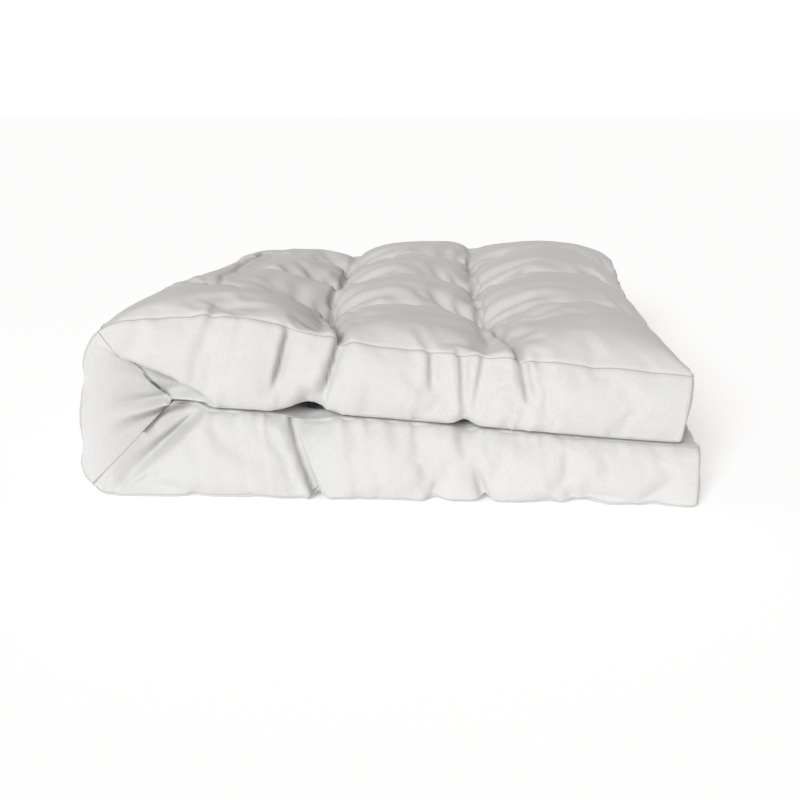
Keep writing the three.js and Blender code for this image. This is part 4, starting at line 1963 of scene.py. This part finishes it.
class FabricShop:
    """Makes the materials, which share one weave group and one tint group."""

    def __init__(self) -> None:
        """Builds the two groups."""
        self.weave = self._weave_group()
        self.tint = self._tint_group()

    @staticmethod
    def _weave_group() -> bpy.types.NodeTree:
        """Height of a two-up, one-down twill over distances along the cloth.

        Returns:
            The shader node group.
        """
        group = bpy.data.node_groups.new("twill_weave", "ShaderNodeTree")
        face = group.interface
        face.new_socket("Vector", in_out="INPUT", socket_type="NodeSocketVector")
        face.new_socket("Pitch", in_out="INPUT", socket_type="NodeSocketFloat")
        face.new_socket("Height", in_out="OUTPUT", socket_type="NodeSocketFloat")
        n = Nodes(group)
        source = n.add("NodeGroupInput")
        split = n.add("ShaderNodeSeparateXYZ", Vector=source.outputs["Vector"])
        warp = n.math("DIVIDE", split.outputs["X"], source.outputs["Pitch"])
        weft = n.math("DIVIDE", split.outputs["Y"], source.outputs["Pitch"])
        slubs = n.add("ShaderNodeTexNoise", Vector=source.outputs["Vector"], Scale=240.0, Detail=2.0)
        drift = n.math("MULTIPLY", slubs.outputs[0], 0.8)
        diagonal = n.math("ADD", n.math("ADD", warp, weft), drift)
        rib = n.math("SINE", n.math("MULTIPLY", diagonal, math.tau))
        thread = n.math("SINE", n.math("MULTIPLY", warp, 3.0 * math.tau))
        height = n.math("ADD", n.math("MULTIPLY", rib, 0.35), n.math("MULTIPLY", thread, 0.15))
        height = n.math("ADD", height, n.math("MULTIPLY", slubs.outputs[0], 0.9))
        sink = n.add("NodeGroupOutput")
        n.link(height, sink.inputs["Height"])
        return group

    @staticmethod
    def _tint_group() -> bpy.types.NodeTree:
        """Natural cotton's uneven colour: broad warm patches, and fine flecks of seed.

        Returns:
            The shader node group.
        """
        group = bpy.data.node_groups.new("natural_cotton", "ShaderNodeTree")
        face = group.interface
        face.new_socket("Color", in_out="INPUT", socket_type="NodeSocketColor")
        face.new_socket("Fleck", in_out="INPUT", socket_type="NodeSocketColor")
        face.new_socket("Color", in_out="OUTPUT", socket_type="NodeSocketColor")
        n = Nodes(group)
        source = n.add("NodeGroupInput")
        place = n.add("ShaderNodeTexCoord").outputs["Object"]
        broad = n.add("ShaderNodeTexNoise", Vector=place, Scale=5.0, Detail=3.0)
        warm = n.add("ShaderNodeHueSaturation", Color=source.outputs["Color"])
        grain = n.add("ShaderNodeTexNoise", Vector=place, Scale=430.0, Detail=3.0)
        value = n.math("ADD", n.math("MULTIPLY", broad.outputs[0], 0.08), 0.96)
        grained = n.math("ADD", n.math("MULTIPLY", grain.outputs[0], 0.24), 0.88)
        n.link(n.math("MULTIPLY", value, grained), warm.inputs["Value"])
        n.link(n.math("ADD", n.math("MULTIPLY", broad.outputs[0], 0.6), 0.70), warm.inputs["Saturation"])
        fine = n.add("ShaderNodeTexNoise", Vector=place, Scale=900.0, Detail=1.0)
        seeds = n.math("MULTIPLY", n.math("GREATER_THAN", fine.outputs[0], 0.735), 0.35)
        mixed = n.add("ShaderNodeMix")
        mixed.data_type = "RGBA"
        n.link(seeds, mixed.inputs["Factor"])
        n.link(warm.outputs["Color"], mixed.inputs["A"])
        n.link(source.outputs["Fleck"], mixed.inputs["B"])
        sink = n.add("NodeGroupOutput")
        n.link(mixed.outputs["Result"], sink.inputs["Color"])
        return group

    @staticmethod
    def _painted_seam_shade(n: Nodes, color: bpy.types.NodeSocket) -> bpy.types.NodeSocket:
        """Darkens a colour with painted shade in the narrow cleft of a seam, where its shadow falls.

        Args:
            n: The material's nodes.
            color: Of the cloth.

        Returns:
            The colour with painted shade at its seams.
        """
        off = n.add("ShaderNodeAttribute")
        off.attribute_name = PAINTED_SHADE_MASK
        share = n.add("ShaderNodeMapRange")
        n.link(off.outputs["Fac"], share.inputs["Value"])
        for name, value in (("From Min", 0.10), ("From Max", 0.32), ("To Min", 0.46), ("To Max", 0.0)):
            share.inputs[name].default_value = value
        mixed = n.add("ShaderNodeMix")
        mixed.data_type = "RGBA"
        n.link(share.outputs["Result"], mixed.inputs["Factor"])
        n.link(color, mixed.inputs["A"])
        mixed.inputs["B"].default_value = SEAM_PAINTED_SHADE
        return mixed.outputs["Result"]

    def fabric(self, finish: FabricFinish, mapped: bool) -> bpy.types.Material:
        """A fabric's material.

        Args:
            finish: The fabric.
            mapped: True to weave along the cloth map, False to weave in object space.

        Returns:
            The material.
        """
        material = bpy.data.materials.new(finish.name)
        material.use_nodes = True
        tree = material.node_tree
        tree.nodes.clear()
        n = Nodes(tree)
        if mapped:
            where = n.add("ShaderNodeUVMap")
            where.uv_map = CLOTH_MAP
            vector = where.outputs["UV"]
        else:
            vector = n.add("ShaderNodeTexCoord").outputs["Object"]
        weave = n.add("ShaderNodeGroup")
        weave.node_tree = self.weave
        n.link(vector, weave.inputs["Vector"])
        weave.inputs["Pitch"].default_value = finish.weave_pitch
        tint = n.add("ShaderNodeGroup")
        tint.node_tree = self.tint
        tint.inputs["Color"].default_value = (*finish.color, 1.0)
        tint.inputs["Fleck"].default_value = (*finish.fleck, 1.0)
        raised = n.add("ShaderNodeBump", Strength=0.8, Distance=finish.weave_depth)
        n.link(weave.outputs["Height"], raised.inputs["Height"])
        color = tint.outputs["Color"]
        if mapped:
            # Painted shade darkens the cloth along the outer seams.
            color = self._painted_seam_shade(n, color)
        shader = n.add("ShaderNodeBsdfPrincipled", Roughness=finish.roughness)
        shader.inputs["Sheen Weight"].default_value = finish.sheen
        shader.inputs["Sheen Roughness"].default_value = 0.5
        shader.inputs["Specular IOR Level"].default_value = 0.15
        n.link(color, shader.inputs["Base Color"])
        n.link(raised.outputs["Normal"], shader.inputs["Normal"])
        output = n.add("ShaderNodeOutputMaterial")
        n.link(shader.outputs["BSDF"], output.inputs["Surface"])
        return material


# ---------------------------------------------------------------------------------------------
# Stage
# ---------------------------------------------------------------------------------------------


@dataclass(frozen=True)
class Softbox:
    """A broad, distant light.

    Attributes:
        azimuth: Where it stands, in degrees from the front towards the left.
        elevation: In degrees above the floor.
        breadth: Angle across it, in degrees.
        strength: On a surface that faces it.
    """

    name: str
    azimuth: float
    elevation: float
    breadth: float
    strength: float


@dataclass(frozen=True)
class Stage:
    """The floor, the lights and the camera."""

    camera_at: tuple[float, float, float] = (0.062, -1.95, 0.632)
    pitch: float = math.radians(17.71)
    yaw: float = math.radians(1.67)
    focal: float = 50.7
    floor_size: float = 16.0
    sky: float = 0.42
    sky_color: tuple[float, float, float] = (1.0, 0.950, 0.905)
    key_color: tuple[float, float, float] = (0.941, 0.970, 1.0)
    backdrop: float = 1.16
    glow: float = 0.235
    lights: tuple[Softbox, ...] = (Softbox("key_softbox", 18.0, 27.0, 26.0, 2.87),)

    def build(self) -> None:
        """Builds the stage."""
        self._floor()
        self._camera()
        for light in self.lights:
            self._light(light)
        self._world()
        bpy.context.scene.view_settings.view_transform = "Standard"

    def _world(self) -> None:
        """A soft even sky, which shows as plain white behind the object."""
        world = bpy.data.worlds.new("studio")
        world.use_nodes = True
        n = Nodes(world.node_tree)
        sky = world.node_tree.nodes["Background"]
        sky.inputs["Color"].default_value = (*self.sky_color, 1.0)
        seen = n.add("ShaderNodeLightPath").outputs["Is Camera Ray"]
        rest = n.math("MULTIPLY", seen, self.backdrop - self.sky)
        n.link(n.math("ADD", rest, self.sky), sky.inputs["Strength"])
        bpy.context.scene.world = world

    def _floor(self) -> None:
        """A sheet of white paper, which glows a little."""
        half = self.floor_size / 2
        corners = np.array([(-half, -half, 0), (half, -half, 0), (half, half, 0), (-half, half, 0)])
        floor = new_mesh("floor", corners - np.array([0, 0, 0.0004]), np.array([[0, 1, 2, 3]]))
        material = bpy.data.materials.new("studio_floor")
        material.use_nodes = True
        shader = material.node_tree.nodes["Principled BSDF"]
        shader.inputs["Base Color"].default_value = (0.94, 0.94, 0.94, 1.0)
        shader.inputs["Roughness"].default_value = 0.9
        shader.inputs["Emission Color"].default_value = (1.0, 1.0, 1.0, 1.0)
        shader.inputs["Emission Strength"].default_value = self.glow
        floor.data.materials.append(material)

    def _camera(self) -> None:
        """A camera in front of the mattress, a little above it."""
        camera = bpy.data.cameras.new("camera")
        camera.lens = self.focal
        obj = bpy.data.objects.new("camera", camera)
        forward = Vector(
            (
                -math.sin(self.yaw) * math.cos(self.pitch),
                math.cos(self.yaw) * math.cos(self.pitch),
                -math.sin(self.pitch),
            )
        )
        obj.location = self.camera_at
        obj.rotation_euler = forward.to_track_quat("-Z", "Y").to_euler()
        bpy.context.scene.collection.objects.link(obj)
        bpy.context.scene.camera = obj

    def _light(self, box: Softbox) -> None:
        """Adds a softbox.

        Args:
            box: Its place, size and strength.
        """
        light = bpy.data.lights.new(box.name, "SUN")
        light.angle = math.radians(box.breadth)
        light.energy = box.strength
        light.color = self.key_color
        obj = bpy.data.objects.new(box.name, light)
        turn, rise = math.radians(box.azimuth), math.radians(box.elevation)
        towards = Vector(
            (-math.sin(turn) * math.cos(rise), -math.cos(turn) * math.cos(rise), math.sin(rise))
        )
        obj.location = towards * 4.0
        obj.rotation_euler = (-towards).to_track_quat("-Z", "Y").to_euler()
        bpy.context.scene.collection.objects.link(obj)


class FutonMattress:
    """The whole mattress."""

    def __init__(self) -> None:
        """Reads the layout and makes the materials."""
        self.layout = Layout.read()
        self.builder = SkinBuilder(self.layout, CoverSettings(), Lips(), Settling())
        shop = FabricShop()
        self.twill = shop.fabric(COVER_TWILL, mapped=True)
        self.cotton = shop.fabric(COTTON_FLEECE, mapped=False)
        self.cord = shop.fabric(WAXED_CORD, mapped=False)

    def build(self) -> None:
        """Builds every piece."""
        lay, builder = self.layout, self.builder
        builder.add_half("lower", lay.lower, lay.lower_length, builder.set.floor_corner_radius)
        builder.add_half("upper", lay.upper, lay.upper_length, builder.set.top_corner_radius)
        builder.add_wedge()
        builder.settle()
        welded = builder.skin.weld()
        LOG.info("skin of %d points", len(welded.points))
        cloth = ClothSettings()
        points = swell(welded, cloth)
        points = shape_to_contact(points, welded, lay, builder.settling)
        builder.straighten_bands(points, welded)
        fine = FineSkin.subdivide(points, welded, 0.0012)
        fine.wrinkle(lay)
        fine.step_lips(builder)
        fine.snap_bands(builder)
        fine.shade()
        Cover(fine, builder, self.twill).build()
        Stuffing(points, welded, self.cotton).build()
        self._ties(points, welded)

    def _ties(self, points: Array, welded: Welded) -> None:
        """Makes the tie of every tuft, between the dimples of the two panels.

        Args:
            points: Of the swollen skin.
            welded: The skin that they belong to.
        """
        maker = TieMaker(CordSettings(), self.cord)
        for node in sorted(n for n in frame["nodes"] if "tuft_tie" in n):
            part = node.split("_")[0]
            low, high = (np.array(corner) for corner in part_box(node))
            centre = (low + high) / 2
            outer = points[welded.grids[f"{part}_outer_panel"]]
            inner = points[welded.grids[f"{part}_inner_panel"]]
            face = getattr(self.layout, part)
            row = float((centre[[0, 2]] - face.origin) @ face.along)
            along = (outer[..., [0, 2]] - face.origin) @ face.along
            if part == "fold":
                column = np.abs(outer[..., 1] - centre[1]).argmin(axis=1)[0]
                line = outer[:, column]
                start = line[((line[:, [0, 2]] - face.origin) @ face.inward)[5:-5].argmax() + 5]
                stop = inner[len(inner) // 2, column]
            else:
                away = np.hypot(along - row, outer[..., 1] - centre[1])
                near = np.where(away < 0.03, (outer[..., [0, 2]] - face.origin) @ face.inward, -1.0)
                start = outer[np.unravel_index(near.argmax(), near.shape)]
                inner_along = (inner[..., [0, 2]] - face.origin) @ face.along
                away = np.hypot(inner_along - row, inner[..., 1] - start[1])
                stop = inner[np.unravel_index(away.argmin(), away.shape)]
            run = stop - start
            run = run / np.linalg.norm(run)
            name = node.replace("tuft_tie", "cord")
            obj = maker.make(name, start + run * KNOT_COVER, stop - run * KNOT_COVER)
            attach(obj, Cover.BODY[part])
            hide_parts(node)
            LOG.info("%s on %s", obj.name, Cover.BODY[part])


def main() -> None:
    """Builds the mattress and its stage."""
    logging.basicConfig(level=logging.INFO)
    FutonMattress().build()
    Stage().build()


if __name__ == "__main__":
    main()
